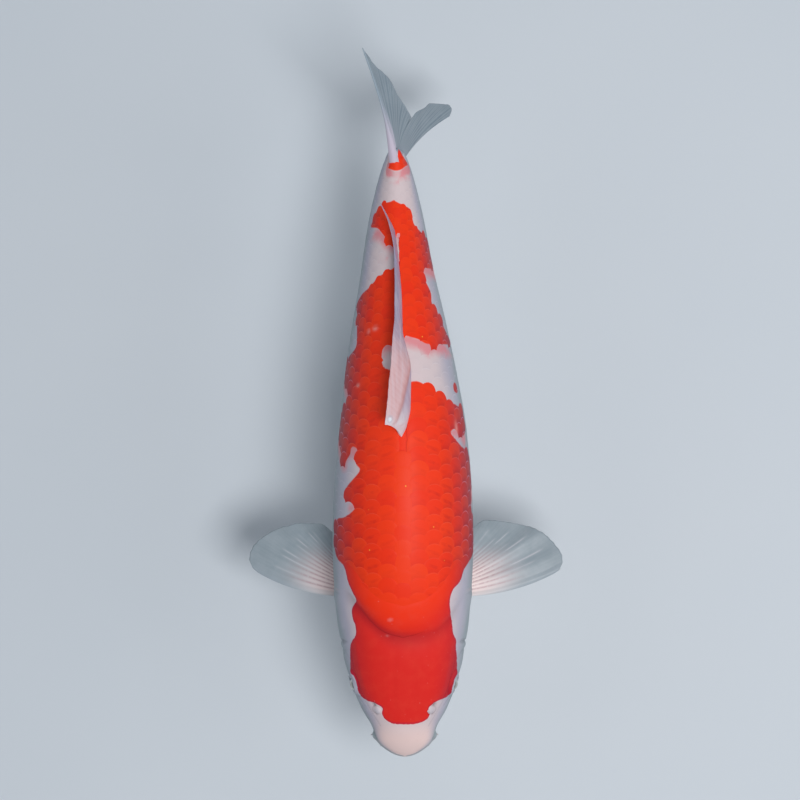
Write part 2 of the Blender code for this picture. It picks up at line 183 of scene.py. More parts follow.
@dataclass
class FishForm:
    """The koi's body as a function of u and girth angle."""

    balance: float
    axis_height: float
    # u, half width, back line, belly line, height of the widest line, squareness of the section
    body: tuple[tuple[float, ...], ...] = (
        (0, 0, -12, -12, -12, 2), (4, 13.2, -2.5, -20, -11.5, 2),
        (16, 26.2, 9.5, -28, -11, 2.1), (27, 29.6, 17, -33, -9, 2.2),
        (45, 39.4, 26, -40, -6, 2.2), (68, 48.2, 36, -47.5, -3, 2.25),
        (95, 54.8, 46.5, -55.5, -4, 2.25), (128, 60, 57, -64, -5, 2.2),
        (158, 63.2, 65, -70.5, -4, 2.15), (200, 64.6, 72.5, -76.5, -3, 2.1),
        (250, 62.8, 77, -79, -2, 2.1), (293, 59, 76, -77, -1, 2.05),
        (348, 51.7, 71, -69, 0, 2), (403, 41.7, 61, -55, 1, 2),
        (440, 34.2, 53, -45, 2, 2), (494, 24.7, 41.5, -33, 3, 2),
        (531, 15.6, 36, -30, 3, 2.1), (549, 9.2, 36.5, -31, 3, 2.2),
        (563, 2.6, 38, -33, 3, 2.4))
    bend: Knots = ((0, 2.2), (70, 1.2), (150, 0.4), (300, 0.4), (350, -1.4), (420, -3.7),
                   (460, -5.1), (505, -5.7), (565, -5.8))
    head_line: Knots = ((0, 112.6), (15, 117.5), (29, 128.5), (47, 149), (60, 156.5),
                        (80, 158.5), (100, 158), (130, 145), (155, 118), (180, 97))
    length_steps: int = 226
    girth_steps: int = 121

    def __post_init__(self) -> None:
        """Make the body's curves and the table of girth lengths."""
        self.columns = [SmoothCurve(tuple((math.sqrt(row[0]), row[i]) for row in self.body))
                        for i in range(1, 6)]
        self.side_bend = SmoothCurve(self.bend)
        self.head_curve = SmoothCurve(self.head_line)
        self.length = self.body[-1][0]
        self.table_u = np.linspace(0.5, self.length, self.length_steps)
        angles = np.linspace(0, 180, self.girth_steps)
        grid_u, grid_a = np.meshgrid(self.table_u, angles, indexing="ij")
        places = self.place(grid_u, grid_a)
        arcs = lengths_along(places)
        self.half_girths = arcs[:, -1]
        shares = np.linspace(0, 1, self.girth_steps)
        self.share_of_angle = arcs / self.half_girths[:, None]
        self.angle_of_share = np.array([np.interp(shares, row, angles)
                                        for row in self.share_of_angle])

    def place(self, u: Array, angle: Array, proud: Array = 0) -> Array:
        """Return places (x, u, z) on the skin, or proud of it, with a last axis of three."""
        u, angle, proud = np.broadcast_arrays(np.asarray(u, float), np.asarray(angle, float),
                                              np.asarray(proud, float))
        root = np.sqrt(np.maximum(u, 0))
        width, back, belly, widest, square = (curve(root) for curve in self.columns)
        side, up = np.sin(np.radians(angle)), np.cos(np.radians(angle))
        width = np.maximum(width, 1e-6)
        height = np.maximum(np.abs(np.where(up > 0, back, belly) - widest), 1e-6)
        power = 2 / square
        out_x = signed_power(side, 2 - power) / width
        out_z = signed_power(up, 2 - power) / height
        size = np.maximum(np.hypot(out_x, out_z), 1e-9)
        x = self.side_bend(u) + width * signed_power(side, power) + proud * out_x / size
        z = widest + height * signed_power(up, power) + proud * out_z / size
        return np.stack([x, u, z], axis=-1)

    def outward(self, u: Array, angle: Array) -> Array:
        """Return the unit vectors that point straight out of the skin."""
        u = np.maximum(np.asarray(u, float), 0.05)
        step = np.minimum(0.4, u * 0.5)
        along = self.place(u + step, angle) - self.place(u - step, angle)
        around = self.place(u, np.asarray(angle) + 0.5) - self.place(u, np.asarray(angle) - 0.5)
        return unit(np.cross(around, along))

    def _lookup(self, table: Array, u: Array, share: Array) -> Array:
        """Return a table's value between its rows of u and its evenly spaced columns."""
        row = np.clip(np.interp(u, self.table_u, np.arange(len(self.table_u))), 0,
                      len(self.table_u) - 1.001)
        column = np.clip(share * (self.girth_steps - 1), 0, self.girth_steps - 1.001)
        r, c = row.astype(int), column.astype(int)
        fr, fc = row - r, column - c
        low = table[r, c] * (1 - fc) + table[r, c + 1] * fc
        high = table[r + 1, c] * (1 - fc) + table[r + 1, c + 1] * fc
        return low * (1 - fr) + high * fr

    def half_girth(self, u: Array) -> Array:
        """Return the length round one side of the body, from back to belly."""
        return np.interp(u, self.table_u, self.half_girths)

    def arc(self, u: Array, angle: Array) -> Array:
        """Return the length round the body from the back line to a girth angle, signed."""
        share = self._lookup(self.share_of_angle, u, np.abs(angle) / 180)
        return np.sign(angle) * share * self.half_girth(u)

    def angle_at(self, u: Array, arc: Array) -> Array:
        """Return the girth angle at a signed length round the body from the back line."""
        share = np.clip(np.abs(arc) / self.half_girth(u), 0, 1)
        return np.sign(arc) * self._lookup(self.angle_of_share, u, share)

    def head_edge(self, angle: Array) -> Array:
        """Return the u where the head ends at a girth angle, the same on both sides."""
        return self.head_curve(np.abs((np.asarray(angle, float) + 180) % 360 - 180))

    def metres(self, places: Array) -> Array:
        """Turn places (x, u, z) in millimetres into metres in the part's frame."""
        return (places + np.array([0, -self.balance, self.axis_height])) * MM


# -------- the markings
@dataclass(frozen=True)
class Patch:
    """One red patch: its outline in (u, girth angle)."""

    name: str
    outline: Knots

    def depth(self, u: Array, angle: Array) -> Array:
        """Return how far inside the patch each point lies, in millimetres, negative outside."""
        line = rounded_path(self.outline, closed=True, steps=4) * np.array([1, Markings.REACH])
        points = np.stack([np.ravel(u), np.ravel(angle) * Markings.REACH], axis=-1)
        low, high = line.min(0) - Markings.LIMIT, line.max(0) + Markings.LIMIT
        near = np.flatnonzero(np.all((points > low) & (points < high), axis=1))
        close = points[near]
        nearest = np.full(len(near), FAR_OFF)
        crossed = np.zeros(len(near), bool)
        for a, b in zip(line, np.roll(line, -1, axis=0)):
            run = b - a
            f = np.clip(((close - a) @ run) / max(run @ run, 1e-9), 0, 1)
            nearest = np.minimum(nearest, np.sum((close - a - f[:, None] * run) ** 2, axis=1))
            if a[1] != b[1]:
                spans = (a[1] > close[:, 1]) != (b[1] > close[:, 1])
                crossed ^= spans & (close[:, 0] < a[0] + (close[:, 1] - a[1]) * run[0] / run[1])
        depth = np.full(len(points), -FAR_OFF)
        depth[near] = np.where(crossed, 1, -1) * np.sqrt(nearest)
        return depth.reshape(np.shape(u))


@dataclass(frozen=True)
class Markings:
    """The koi's red pattern on white, the same for skin, scales and fins."""

    REACH = 1.1  # millimetres of girth to a degree, near enough for an outline
    LIMIT = 40  # how deep or far off a depth still counts
    blush_reach: float = 15.0  # how far ahead of a patch its pink runs
    patches: tuple[Patch, ...] = (
        Patch("cap_and_saddle", (
            (32, 0), (32, 14), (34, 28), (37, 35), (41, 36), (46, 31), (50, 35), (54, 46),
            (56, 60), (61, 65), (68, 64), (74, 63), (79, 67), (85, 66), (92, 62), (103, 56),
            (109, 55), (116, 49), (128, 47), (139, 42), (148, 41), (157, 45), (163, 53),
            (171, 57), (179, 67), (187, 84), (194, 97), (206, 103), (218, 97), (226, 76),
            (237, 73), (246, 84), (254, 96), (268, 96), (279, 78), (285, 62), (291, 54),
            (298, 47), (301, 58), (294, 64), (297, 74), (306, 79), (318, 74), (324, 56),
            (327, 46), (332, 35), (338, 30), (341, 23), (344, 15), (343, 2), (352, -5),
            (357, -18), (372, -19), (379, -8), (386, 2), (430, 2), (447, 0), (445, -8),
            (442, -18), (437, -32), (429, -45), (422, -63), (412, -77), (405, -68),
            (386, -60), (374, -59), (364, -78), (352, -92), (345, -80), (337, -67),
            (342, -50), (336, -49), (328, -62), (318, -77), (302, -88), (289, -77),
            (273, -63), (276, -52), (284, -50), (282, -43), (270, -43), (264, -38),
            (256, -45), (247, -54),
            (238, -51), (232, -41), (226, -46), (221, -56), (219, -68), (210, -75),
            (197, -76), (184, -69), (176, -55), (163, -50), (153, -45), (146, -42),
            (139, -48), (130, -48), (123, -45), (114, -46), (105, -56), (96, -60),
            (88, -64), (81, -67), (76, -61), (70, -59), (62, -61), (57, -60), (53, -48),
            (51, -35), (47, -27), (42, -30), (37, -29), (33, -20), (32, -8))),
        Patch("rear_saddle", (
            (378, 98), (377, 75), (377, 50), (377, 31), (381, 21), (384, 8), (388, -2),
            (420, -3), (448, -3), (452, 5), (456, 12), (466, 14), (476, 11), (478, -4),
            (492, -7), (506, -6), (505, 6), (503, 16), (499, 34), (487, 37), (480, 52),
            (474, 76), (468, 98), (456, 102), (447, 88), (446, 56), (448, 38), (446, 30),
            (440, 39), (433, 46), (424, 52), (413, 50), (403, 60), (390, 71), (382, 84))),
        Patch("rear_left_patch", (
            (484, -62), (492, -54), (500, -47), (504, -34), (506, -16), (505, 0), (474, 0),
            (469, -9), (471, -17), (477, -28), (482, -40))),
        Patch("rear_left_spot", ((466, -14), (471, -13), (477, -17), (473, -21), (467, -19))),
        Patch("tail_base_spot", (
            (534, 0), (535, 16), (538, 36), (541, 59), (547, 42), (554, 16), (547, 6),
            (543, 1), (541.5, -7), (542, -14), (540, -24), (537, -32), (535, -16))),
        Patch("flank_spot", ((333, 66), (336, 62), (341, 63), (343, 68), (339, 72), (334, 71))))
    # white flecks that lie inside the red: u, angle, half length, half width
    flecks: tuple[tuple[float, float, float, float], ...] = (
        (391, -30, 1.8, 3.6), (389, -39, 1.5, 2.4), (340, -48, 1.6, 2.4),
        (129, -10, 1.2, 1.2), (114, -12.5, 1, 1.4), (301, 56, 6, 2.5))

    def depth(self, u: Array, angle: Array) -> Array:
        """Return how far inside the red each point lies, in millimetres, negative on white."""
        deepest = np.max([patch.depth(u, angle) for patch in self.patches], axis=0)
        return np.clip(deepest, -self.LIMIT, self.LIMIT)

    def fleck(self, u: Array, angle: Array) -> Array:
        """Return how strongly one of the pale flecks in the red shows, 0 to 1."""
        shown = np.zeros(np.shape(u))
        for fleck_u, fleck_angle, long, wide in self.flecks:
            away = np.hypot((u - fleck_u) / long, (angle - fleck_angle) * self.REACH / wide)
            shown = np.maximum(shown, hill(away, 1))
        return shown

    def blush(self, u: Array, angle: Array) -> Array:
        """Return how far the red of a patch shines pink through the white ahead of it."""
        own = self.depth(u, angle)
        ahead = self.depth(np.asarray(u) + self.blush_reach, angle) / self.blush_reach
        # round the spot at the tail's base the pink is a narrow band, fading on the back
        band = hill(own + 3, 4.5) * ramp(u, 519, 527) * (1 - ramp(u, 540, 546))
        band = band * (0.35 + 0.65 * ramp(np.abs(angle), 6, 32))
        behind_shoulder = ramp(u, 190, 225)
        shown = np.maximum(np.clip(ahead, 0, 1), band) * (1 - ramp(own, -1, 1))
        return shown * behind_shoulder

    def colouring(self, u: Array, angle: Array) -> Figures:
        """Return the figures of colour that the skin and the scales share."""
        wide = np.abs(angle)
        # side darkens and cools the colours down the flanks: partly their own tone, partly painted
        # shade and a painted bluish reflection
        return {"blush": self.blush(u, angle), "fleck": self.fleck(u, angle),
                "side": ramp(wide, 26, 92), "belly": ramp(wide, 90, 126)}


# -------- mesh making
class MeshKit:
    """Places, faces and figures of one mesh, gathered piece by piece."""

    def __init__(self) -> None:
        """Start with nothing."""
        self.places: list[Array] = []
        self.faces: list[Array] = []
        self.figures: list[Figures] = []
        self.maps: list[Array | None] = []
        self.start = self.count = 0

    def add(self, places: Array, figures: Figures) -> None:
        """Add vertices.

        Args:
            places: vertices in metres, with a last axis of three.
            figures: numbers for each vertex, by name.
        """
        self.start = self.count
        self.places.append(np.asarray(places, float).reshape(-1, 3))
        self.figures.append({k: np.asarray(v, float).ravel() for k, v in figures.items()})
        self.count += len(self.places[-1])

    def join(self, faces: Array, bake_map: Array | None = None) -> None:
        """Add faces over the vertices that were added last.

        Args:
            faces: indices that count from the first of those vertices, one face to a row.
            bake_map: a map place for each face corner.
        """
        self.faces.append(np.asarray(faces, int) + self.start)
        self.maps.append(bake_map)

    def triangles(self) -> int:
        """Return how many triangles the faces come to."""
        return sum(len(f) * (f.shape[1] - 2) for f in self.faces)

    def build(self, name: str, material: Material, sharp: float = 180.0) -> Piece:
        """Make the object.

        Args:
            name: the piece's name.
            material: its finish.
            sharp: the angle in degrees past which an edge is drawn sharp.

        Returns:
            The new object, linked to the scene.
        """
        places = np.concatenate(self.places)
        sizes = np.concatenate([np.full(len(f), f.shape[1]) for f in self.faces])
        corners = np.concatenate([f.ravel() for f in self.faces])
        mesh = bpy.data.meshes.new(name)
        mesh.vertices.add(len(places))
        mesh.vertices.foreach_set("co", places.ravel())
        mesh.loops.add(len(corners))
        mesh.loops.foreach_set("vertex_index", corners)
        mesh.polygons.add(len(sizes))
        mesh.polygons.foreach_set("loop_start", np.concatenate([[0], np.cumsum(sizes)[:-1]]))
        mesh.update(calc_edges=True)
        for key in self.figures[0]:
            figure = mesh.attributes.new(key, "FLOAT", "POINT")
            figure.data.foreach_set("value", np.concatenate([f[key] for f in self.figures]))
        if self.maps[0] is not None:
            layer = mesh.uv_layers.new(name="OFBake")
            layer.uv.foreach_set("vector", np.concatenate([m.ravel() for m in self.maps]))
        mesh.shade_smooth()
        if sharp < 180:
            mesh.set_sharp_from_angle(angle=math.radians(sharp))
        mesh.materials.append(material)
        piece = bpy.data.objects.new(name, mesh)
        bpy.context.scene.collection.objects.link(piece)
        return piece


def grid_faces(rows: int, columns: int, wrap: bool = False) -> Array:
    """Return the four-sided faces of a grid of vertices.

    Args:
        rows: how many rows of vertices there are.
        columns: how many vertices a row has.
        wrap: whether the last column runs on to the first.

    Returns:
        One face to a row.
    """
    r, c = np.meshgrid(np.arange(rows - 1), np.arange(columns if wrap else columns - 1),
                       indexing="ij")
    n = (c + 1) % columns
    return np.stack([r * columns + c, r * columns + n, (r + 1) * columns + n,
                     (r + 1) * columns + c], axis=-1).reshape(-1, 4)


def grid_rim(rows: int, columns: int) -> Array:
    """Return the vertices round the edge of a grid, in order."""
    index = np.arange(rows * columns).reshape(rows, columns)
    return np.concatenate([index[0, :-1], index[:-1, -1], index[-1, :0:-1], index[:0:-1, 0]])


def settle(piece: Piece, slot: str, *nodes: str) -> Piece:
    """Set a piece on the still body, in the place of these nodes."""
    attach(piece, "root")
    if nodes:
        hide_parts(*nodes)
    return piece


# -------- shader writing
class Shade:
    """A number that flows through a material's nodes, open to plain arithmetic."""

    def __init__(self, palette: "Palette", socket: Socket) -> None:
        """Wrap a socket of the palette's material."""
        self.palette = palette
        self.socket = socket

    def _math(self, operation: str, *values: "Shade | float") -> "Shade":
        """Return the outcome of one Math node."""
        node = self.palette.node("ShaderNodeMath", {"operation": operation},
                                 dict(enumerate(values)))
        return Shade(self.palette, node.outputs[0])

    def __add__(self, other: "Shade | float") -> "Shade":
        """Return the sum."""
        return self._math("ADD", self, other)

    def __radd__(self, other: float) -> "Shade":
        """Return the sum."""
        return self._math("ADD", other, self)

    def __sub__(self, other: "Shade | float") -> "Shade":
        """Return the difference."""
        return self._math("SUBTRACT", self, other)

    def __rsub__(self, other: float) -> "Shade":
        """Return the difference, the other way round."""
        return self._math("SUBTRACT", other, self)

    def __mul__(self, other: "Shade | float") -> "Shade":
        """Return the product."""
        return self._math("MULTIPLY", self, other)

    def __rmul__(self, other: float) -> "Shade":
        """Return the product."""
        return self._math("MULTIPLY", other, self)

    def sine(self) -> "Shade":
        """Return the sine."""
        return self._math("SINE", self)

    def rise(self, low: float, high: float) -> "Shade":
        """Return a smooth rise from 0 at low to 1 at high."""
        node = self.palette.node("ShaderNodeMapRange", {"interpolation_type": "SMOOTHSTEP"},
                                 {"Value": self, "From Min": low, "From Max": high})
        return Shade(self.palette, node.outputs[0])


class Palette:
    """One material's nodes and the ways to add to them."""

    def __init__(self, name: str) -> None:
        """Start a material with its surface shader alone."""
        self.material = bpy.data.materials.new(name)
        self.material.use_nodes = True
        self.tree = self.material.node_tree
        self.shader = self.tree.nodes["Principled BSDF"]
        self.where = self.node("ShaderNodeTexCoord", {}, {}).outputs["Object"]

    def node(self, kind: str, settings: dict, sockets: dict) -> bpy.types.Node:
        """Add any node.

        Args:
            kind: the node's type.
            settings: its own settings, which are set first.
            sockets: values or links by socket name or number.

        Returns:
            The new node.
        """
        node = self.tree.nodes.new(kind)
        for key, value in settings.items():
            setattr(node, key, value)
        for key, value in sockets.items():
            self.join(value, node.inputs[key])
        return node

    def join(self, value: "Shade | Socket | float | Colour", target: Socket) -> None:
        """Link a value to a socket, or set it there."""
        if isinstance(value, Shade):
            self.tree.links.new(value.socket, target)
        elif isinstance(value, bpy.types.NodeSocket):
            self.tree.links.new(value, target)
        elif isinstance(value, tuple) and target.type == "RGBA":
            target.default_value = (*value, 1)
        else:
            target.default_value = value

    def __getitem__(self, name: str) -> Shade:
        """Return one of the mesh's own figures."""
        node = self.node("ShaderNodeAttribute", {"attribute_name": name}, {})
        return Shade(self, node.outputs["Fac"])

    def mix(self, amount: Shade | float, first: Socket | Colour, second: Socket | Colour
            ) -> Socket:
        """Return a mix of two colours."""
        node = self.node("ShaderNodeMix", {"data_type": "RGBA"}, {0: amount, 6: first, 7: second})
        return node.outputs[2]

    def over(self, base: Socket | Colour, *layers: tuple[Shade, Socket | Colour]) -> Socket:
        """Lay colours over a base one after another, each by its own share."""
        for share, colour in layers:
            base = self.mix(share, base, colour)
        return base

    def noise(self, size: float, detail: float = 3.0, rough: float = 0.55,
              where: Socket | None = None) -> Shade:
        """Return soft noise, 0 to 1, of grains about size millimetres across."""
        node = self.node("ShaderNodeTexNoise", {}, {
            "Vector": where or self.where, "Scale": 1 / (size * MM), "Detail": detail,
            "Roughness": rough})
        return Shade(self, node.outputs["Fac"])

    def cells(self, size: float) -> Shade:
        """Return the distance from the middles of cells about size millimetres across."""
        node = self.node("ShaderNodeTexVoronoi", {}, {"Vector": self.where,
                                                      "Scale": 1 / (size * MM)})
        return Shade(self, node.outputs["Distance"])

    def stretched(self, scale: Place) -> Socket:
        """Return the object's own coordinates, stretched along its axes."""
        node = self.node("ShaderNodeVectorMath", {"operation": "MULTIPLY"},
                         {0: self.where, 1: scale})
        return node.outputs[0]

    def relief(self, height: Shade, depth: float, strength: float) -> Socket:
        """Return the surface's direction, roughened by a height of so many millimetres."""
        node = self.node("ShaderNodeBump", {}, {"Height": height, "Distance": depth * MM,
                                                "Strength": strength})
        return node.outputs[0]

    def dress(self, **sockets: "Shade | Socket | float | Colour") -> Material:
        """Set the surface shader's sockets, named with _ for each space."""
        for key, value in sockets.items():
            self.join(value, self.shader.inputs[key.replace("_", " ")])
        return self.material


# -------- finishes
@dataclass(frozen=True)
class KoiColours:
    """The colours that skin, scales and fins share, and how they lie on the body."""

    red_trunk: Colour = (0.93, 0.036, 0.006)
    red_head: Colour = (0.78, 0.024, 0.018)
    # deeper crimson down the sides: partly the red's own tone, partly painted shade and a painted
    # bluish reflection
    red_side: Colour = (0.21, 0.008, 0.042)
    pink: Colour = (0.76, 0.24, 0.27)
    white_top: Colour = (0.7, 0.585, 0.6)
    # the flanks' lavender and grey: partly the white's own tone, partly painted shade and a
    # painted bluish reflection
    white_flank_and_shade: Colour = (0.48, 0.46, 0.55)
    white_side_and_shade: Colour = (0.33, 0.39, 0.42)
    white_belly: Colour = (0.74, 0.68, 0.64)
    snout: Colour = (0.92, 0.69, 0.65)

    def white(self, palette: Palette) -> Socket:
        """Return the white of the skin: pinkish on top, lavender, then grey, cream below; the
        lavender and grey sides are partly painted shade and a painted bluish reflection.
        """
        side, belly = palette["side"], palette["belly"]
        cloud = palette.noise(26)
        lie = side + 0.35 * (cloud - 0.5)
        return palette.over(self.white_top, (lie.rise(0, 0.55), self.white_flank_and_shade),
                            (lie.rise(0.45, 1), self.white_side_and_shade), (belly, self.white_belly))

    def red(self, palette: Palette) -> Socket:
        """Return the red of the pattern: brightest on the back, crimson down the sides, partly the
        red's own tone, partly painted shade and a painted bluish reflection.
        """
        return palette.over(self.red_trunk, (palette["head"], self.red_head),
                            (palette["side"] * 0.97, self.red_side))


@dataclass(frozen=True)
class SkinFinish:
    """The bare skin of head and tail stem: smooth, moist and faintly mottled."""

    colours: KoiColours
    roughness: float = 0.52
    vein: Colour = (0.62, 0.24, 0.22)
    mottle: Colour = (0.84, 0.06, 0.034)
    brink: Colour = (0.42, 0.016, 0.06)  # the red's darker edge
    speck: Colour = (0.86, 0.34, 0.32)
    fleck: Colour = (0.86, 0.3, 0.3)
    # painted shade in creases, pits, the mouth's slit, the eye sockets and the groove behind the
    # head
    white_crease_shade: Colour = (0.17, 0.15, 0.17)
    red_crease: Colour = (0.26, 0.006, 0.02)
    lid: Colour = (0.5, 0.5, 0.57)
    flesh: Colour = (0.74, 0.52, 0.52)
    web_dark: Colour = (0.24, 0.29, 0.35)  # the stem's end, between the tail's lobes
    web_light: Colour = (0.34, 0.38, 0.45)

    def white(self, p: Palette) -> Socket:
        """Return the white with its snout, blush, veins, painted shade in its creases and pale
        lids.
        """
        vein = (p.noise(5, 5, 0.65) - 0.62).rise(0, 0.09)
        return p.over(self.colours.white(p), (p["snout"] * 0.85, self.colours.snout),
                      (p["blush"] * 0.75, self.colours.pink), (vein * 0.16, self.vein),
                      (p["crease"] * 0.8, self.white_crease_shade), (p["pale"] * 0.6, self.lid))

    def red(self, p: Palette, cloud: Shade, depth: Shade) -> Socket:
        """Return the red, mottled and darker at its brink, with specks and painted shade in its
        creases.
        """
        brink = 1 - (depth - 0.2).rise(0, 2.6)
        speck = (1 - p.cells(6.5)).rise(0.9, 0.965) * (cloud - 0.45).rise(0, 0.1)
        return p.over(self.colours.red(p), ((cloud - 0.38).rise(0, 0.4) * 0.22, self.mottle),
                      (brink * 0.55, self.brink), (speck * 0.45, self.speck),
                      (p["fleck"] * 0.6, self.fleck), (p["crease"] * 1.3, self.red_crease))

    def material(self) -> Material:
        """Return the skin's material."""
        p = Palette("koi_skin")
        cloud, depth = p.noise(9), p["red"]
        wobble = (p.noise(3.4) - 0.5) * 1.5
        inside = (depth + wobble).rise(-0.35, 0.35)
        streak = p.noise(1.6, 3, 0.6, p.stretched((1, 0.15, 1)))
        web = p.mix(streak, self.web_dark, self.web_light)
        colour = p.over(self.white(p), (inside, self.red(p, cloud, depth)),
                        (p["flesh"] * 0.6, self.flesh), (p["web"] * (1 - inside), web))
        height = p.noise(1.4, 4) * 0.2 + cloud * 0.6
        return p.dress(Base_Color=colour, Roughness=self.roughness + 0.12 * (cloud - 0.5),
                       Normal=p.relief(height, 0.1, 0.35), Coat_Weight=0.06,
                       Coat_Roughness=0.3, IOR=1.36, Specular_IOR_Level=0.24)


@dataclass(frozen=True)
class ScaleFinish:
    """Overlapping scales: a pale thin rim, painted shade at the base where each comes out from
    under the last, and fine lines that fan out.
    """

    colours: KoiColours
    roughness: float = 0.5
    white_rim: Colour = (0.8, 0.76, 0.82)
    white_shade: Colour = (0.46, 0.4, 0.47)
    orange: Colour = (0.95, 0.09, 0.012)  # the brighter scales of the red
    deep: Colour = (0.66, 0.018, 0.016)  # and the deeper ones
    red_shade: Colour = (0.42, 0.01, 0.014)
    side_shade: Colour = (0.2, 0.008, 0.05)
    streak: Colour = (0.52, 0.012, 0.01)
    red_rim: Colour = (0.9, 0.22, 0.14)
    side_rim: Colour = (0.6, 0.31, 0.46)
    fleck: Colour = (0.86, 0.42, 0.38)
    glint: Colour = (0.98, 0.5, 0.06)

    def white(self, p: Palette, rim: Shade, cloud: Shade) -> Socket:
        """Return the white of a scale, blushing towards the red behind it."""
        blush = p["blush"] + 0.35 * (cloud - 0.5) + 0.12 * p["tint"]
        return p.over(self.colours.white(p), (rim * 0.3, self.white_rim),
                      (p["shade"] * 0.22, self.white_shade),
                      (blush.rise(0.05, 0.75) * 0.85, self.colours.pink))

    def red(self, p: Palette, rim: Shade, cloud: Shade) -> Socket:
        """Return the red of a scale: its own tint, shade, streak and rim."""
        tint, shade, side = p["tint"], p["shade"], p["side"]
        run, across = p["run"], p["across"]
        off = run - 0.69 + across * 0.13 + 0.1 * (cloud - 0.5)
        streak = ((1 - off * off * 160).rise(0, 1)
                  * (1 - (across * across).rise(0.02, 0.55))
                  * p["streak"] * (cloud - 0.3).rise(0, 0.35))
        glint = (1 - p.cells(19)).rise(0.955, 0.985)
        return p.over(self.colours.red(p),
                      ((tint * 0.5 + 0.5).rise(0, 1) * 0.22, self.orange),
                      ((1 - tint).rise(0.9, 2) * 0.12, self.deep),
                      (shade * (0.34 + 0.2 * side), self.red_shade),
                      (shade * side * 0.55, self.side_shade),
                      (streak * 0.42, self.streak), (rim * 0.18, self.red_rim),
                      (rim * (side - 0.25).rise(0, 0.55) * 0.8, self.side_rim),
                      (p["fleck"] * 0.6, self.fleck), (glint * (1 - side) * 0.8, self.glint))

    def material(self) -> Material:
        """Return the scales' material."""
        p = Palette("koi_scale")
        cloud = p.noise(7)
        rim = (1 - p["inner"].rise(0.015, 0.085)) * p["run"].rise(0.45, 0.62) * p["calm"]
        colour = p.mix(p["red"].rise(0.3, 0.7), self.white(p, rim, cloud),
                       self.red(p, rim, cloud))
        fan = (p["fan"] * 46).sine()
        rings = (p["growth"] * 5.2).sine()
        height = (fan * rings * 0.1 + fan * 0.16 + rings * 0.07 + p.noise(1.1) * 0.3
                  + cloud * 0.3)
        return p.dress(Base_Color=colour,
                       Roughness=self.roughness + 0.14 * (cloud - 0.5) + 0.05 * rim,
                       Normal=p.relief(height, 0.08, 0.4), Coat_Weight=0.06,
                       Coat_Roughness=0.32, IOR=1.36, Specular_IOR_Level=0.24)


@dataclass(frozen=True)
class FinFinish:
    """A thin fin: pale bony rays in a greyer web, with mauve veins towards its root."""

    name: str
    web: Colour = (0.29, 0.36, 0.41)
    ray: Colour = (0.36, 0.43, 0.48)
    root: Colour = (0.78, 0.63, 0.63)
    vein: Colour = (0.36, 0.13, 0.19)
    lead: Colour = (0.5, 0.54, 0.58)
    lead_tip: Colour = (0.4, 0.46, 0.52)
    joint: Colour = (0.72, 0.74, 0.78)  # the paler joints along a ray
    glint: Colour = (0.62, 0.63, 0.68)
    clear: float = 0.12
    flesh: float = 1.0  # how much of the body's white shows on the fleshy root

    def ground(self, p: Palette, streak: Shade, cloud: Shade) -> Socket:
        """Return the colour of rays and web, before flesh and markings."""
        ray, along = p["ray"], p["along"]
        joints = ((along * 4.2).sine() * 0.5 + 0.5) * ray
        pale = p.mix(joints * 0.16, self.ray, self.joint)
        vein = p["vein"] * (streak - 0.25).rise(0, 0.3)
        lead = p.mix(along.rise(15, 80), self.lead, self.lead_tip)
        return p.over(self.web, ((cloud - 0.35).rise(0, 0.4) * 0.5, self.ray),
                      (ray * (0.55 + 0.35 * streak), pale),
                      (p["root"] * (0.75 + 0.2 * ray), self.root), (vein * 0.6, self.vein),
                      (p["glint"] * 0.8, self.glint), (p["lead"] * 0.85, lead))

    def material(self) -> Material:
        """Return the fin's material."""
        p = Palette(self.name)
        ray, flesh = p["ray"], p["flesh"]
        cloud = p.noise(16)
        streak = p.noise(2.2, 4, 0.6, p.stretched((1, 0.35, 1)))
        colour = p.over(self.ground(p, streak, cloud),
                        (flesh * self.flesh, KoiColours().white(p)),
                        (p["red"].rise(-0.4, 0.4), KoiColours().red_trunk))
        thin = (1 - ray) * (1 - flesh) * p["thin"]
        height = ray * 0.5 + streak * 0.35
        return p.dress(Base_Color=colour, Roughness=0.42 + 0.12 * (streak - 0.5),
                       Alpha=1 - self.clear * thin, Normal=p.relief(height, 0.12, 0.45),
                       Coat_Weight=0.15, Coat_Roughness=0.25, IOR=1.38)


@dataclass(frozen=True)
class SailFinish(FinFinish):
    """The back fin: a peach upper part over a fold, a cool lower part, lilac at the rear."""

    upper: Colour = (0.7, 0.42, 0.43)
    lower: Colour = (0.47, 0.36, 0.47)
    front: Colour = (0.74, 0.66, 0.7)
    rear: Colour = (0.31, 0.29, 0.43)
    crease: Colour = (0.52, 0.22, 0.21)
    light_lane: Colour = (0.72, 0.6, 0.66)  # streaks that run with the rays
    dark_lane: Colour = (0.5, 0.3, 0.36)
    pale_ray: Colour = (0.72, 0.64, 0.7)
    edge: Colour = (0.78, 0.74, 0.8)
    spot_ring: Colour = (0.36, 0.42, 0.54)  # the wet glint at the front corner
    spot: Colour = (0.84, 0.9, 0.95)

    def ground(self, p: Palette, streak: Shade, cloud: Shade) -> Socket:
        """Return the colour of the two parts and the fold between them."""
        ray, run = p["ray"], p["fan_run"]
        lower = p.mix(run.rise(0.03, 0.17), self.front, self.lower)
        lane, spot = p.noise(3, 3, 0.6, p.stretched((1, 0.07, 0.5))), p["spot"]
        return p.over(self.front, (run.rise(0, 0.07), self.upper), (p["under"], lower),
                      ((run + 0.15 * (cloud - 0.5)).rise(0.32, 0.52), self.rear),
                      ((lane - 0.42).rise(0, 0.3) * 0.45, self.light_lane),
                      ((0.5 - lane).rise(0, 0.25) * 0.4, self.dark_lane),
                      (ray * (0.06 + 0.14 * streak), self.pale_ray),
                      (p["fold"] * 0.7, self.crease), (p["lead"] * 0.5, self.edge),
                      (spot.rise(0.1, 0.45) * 0.3, self.spot_ring),
                      (spot.rise(0.45, 0.95) * 0.8, self.spot))


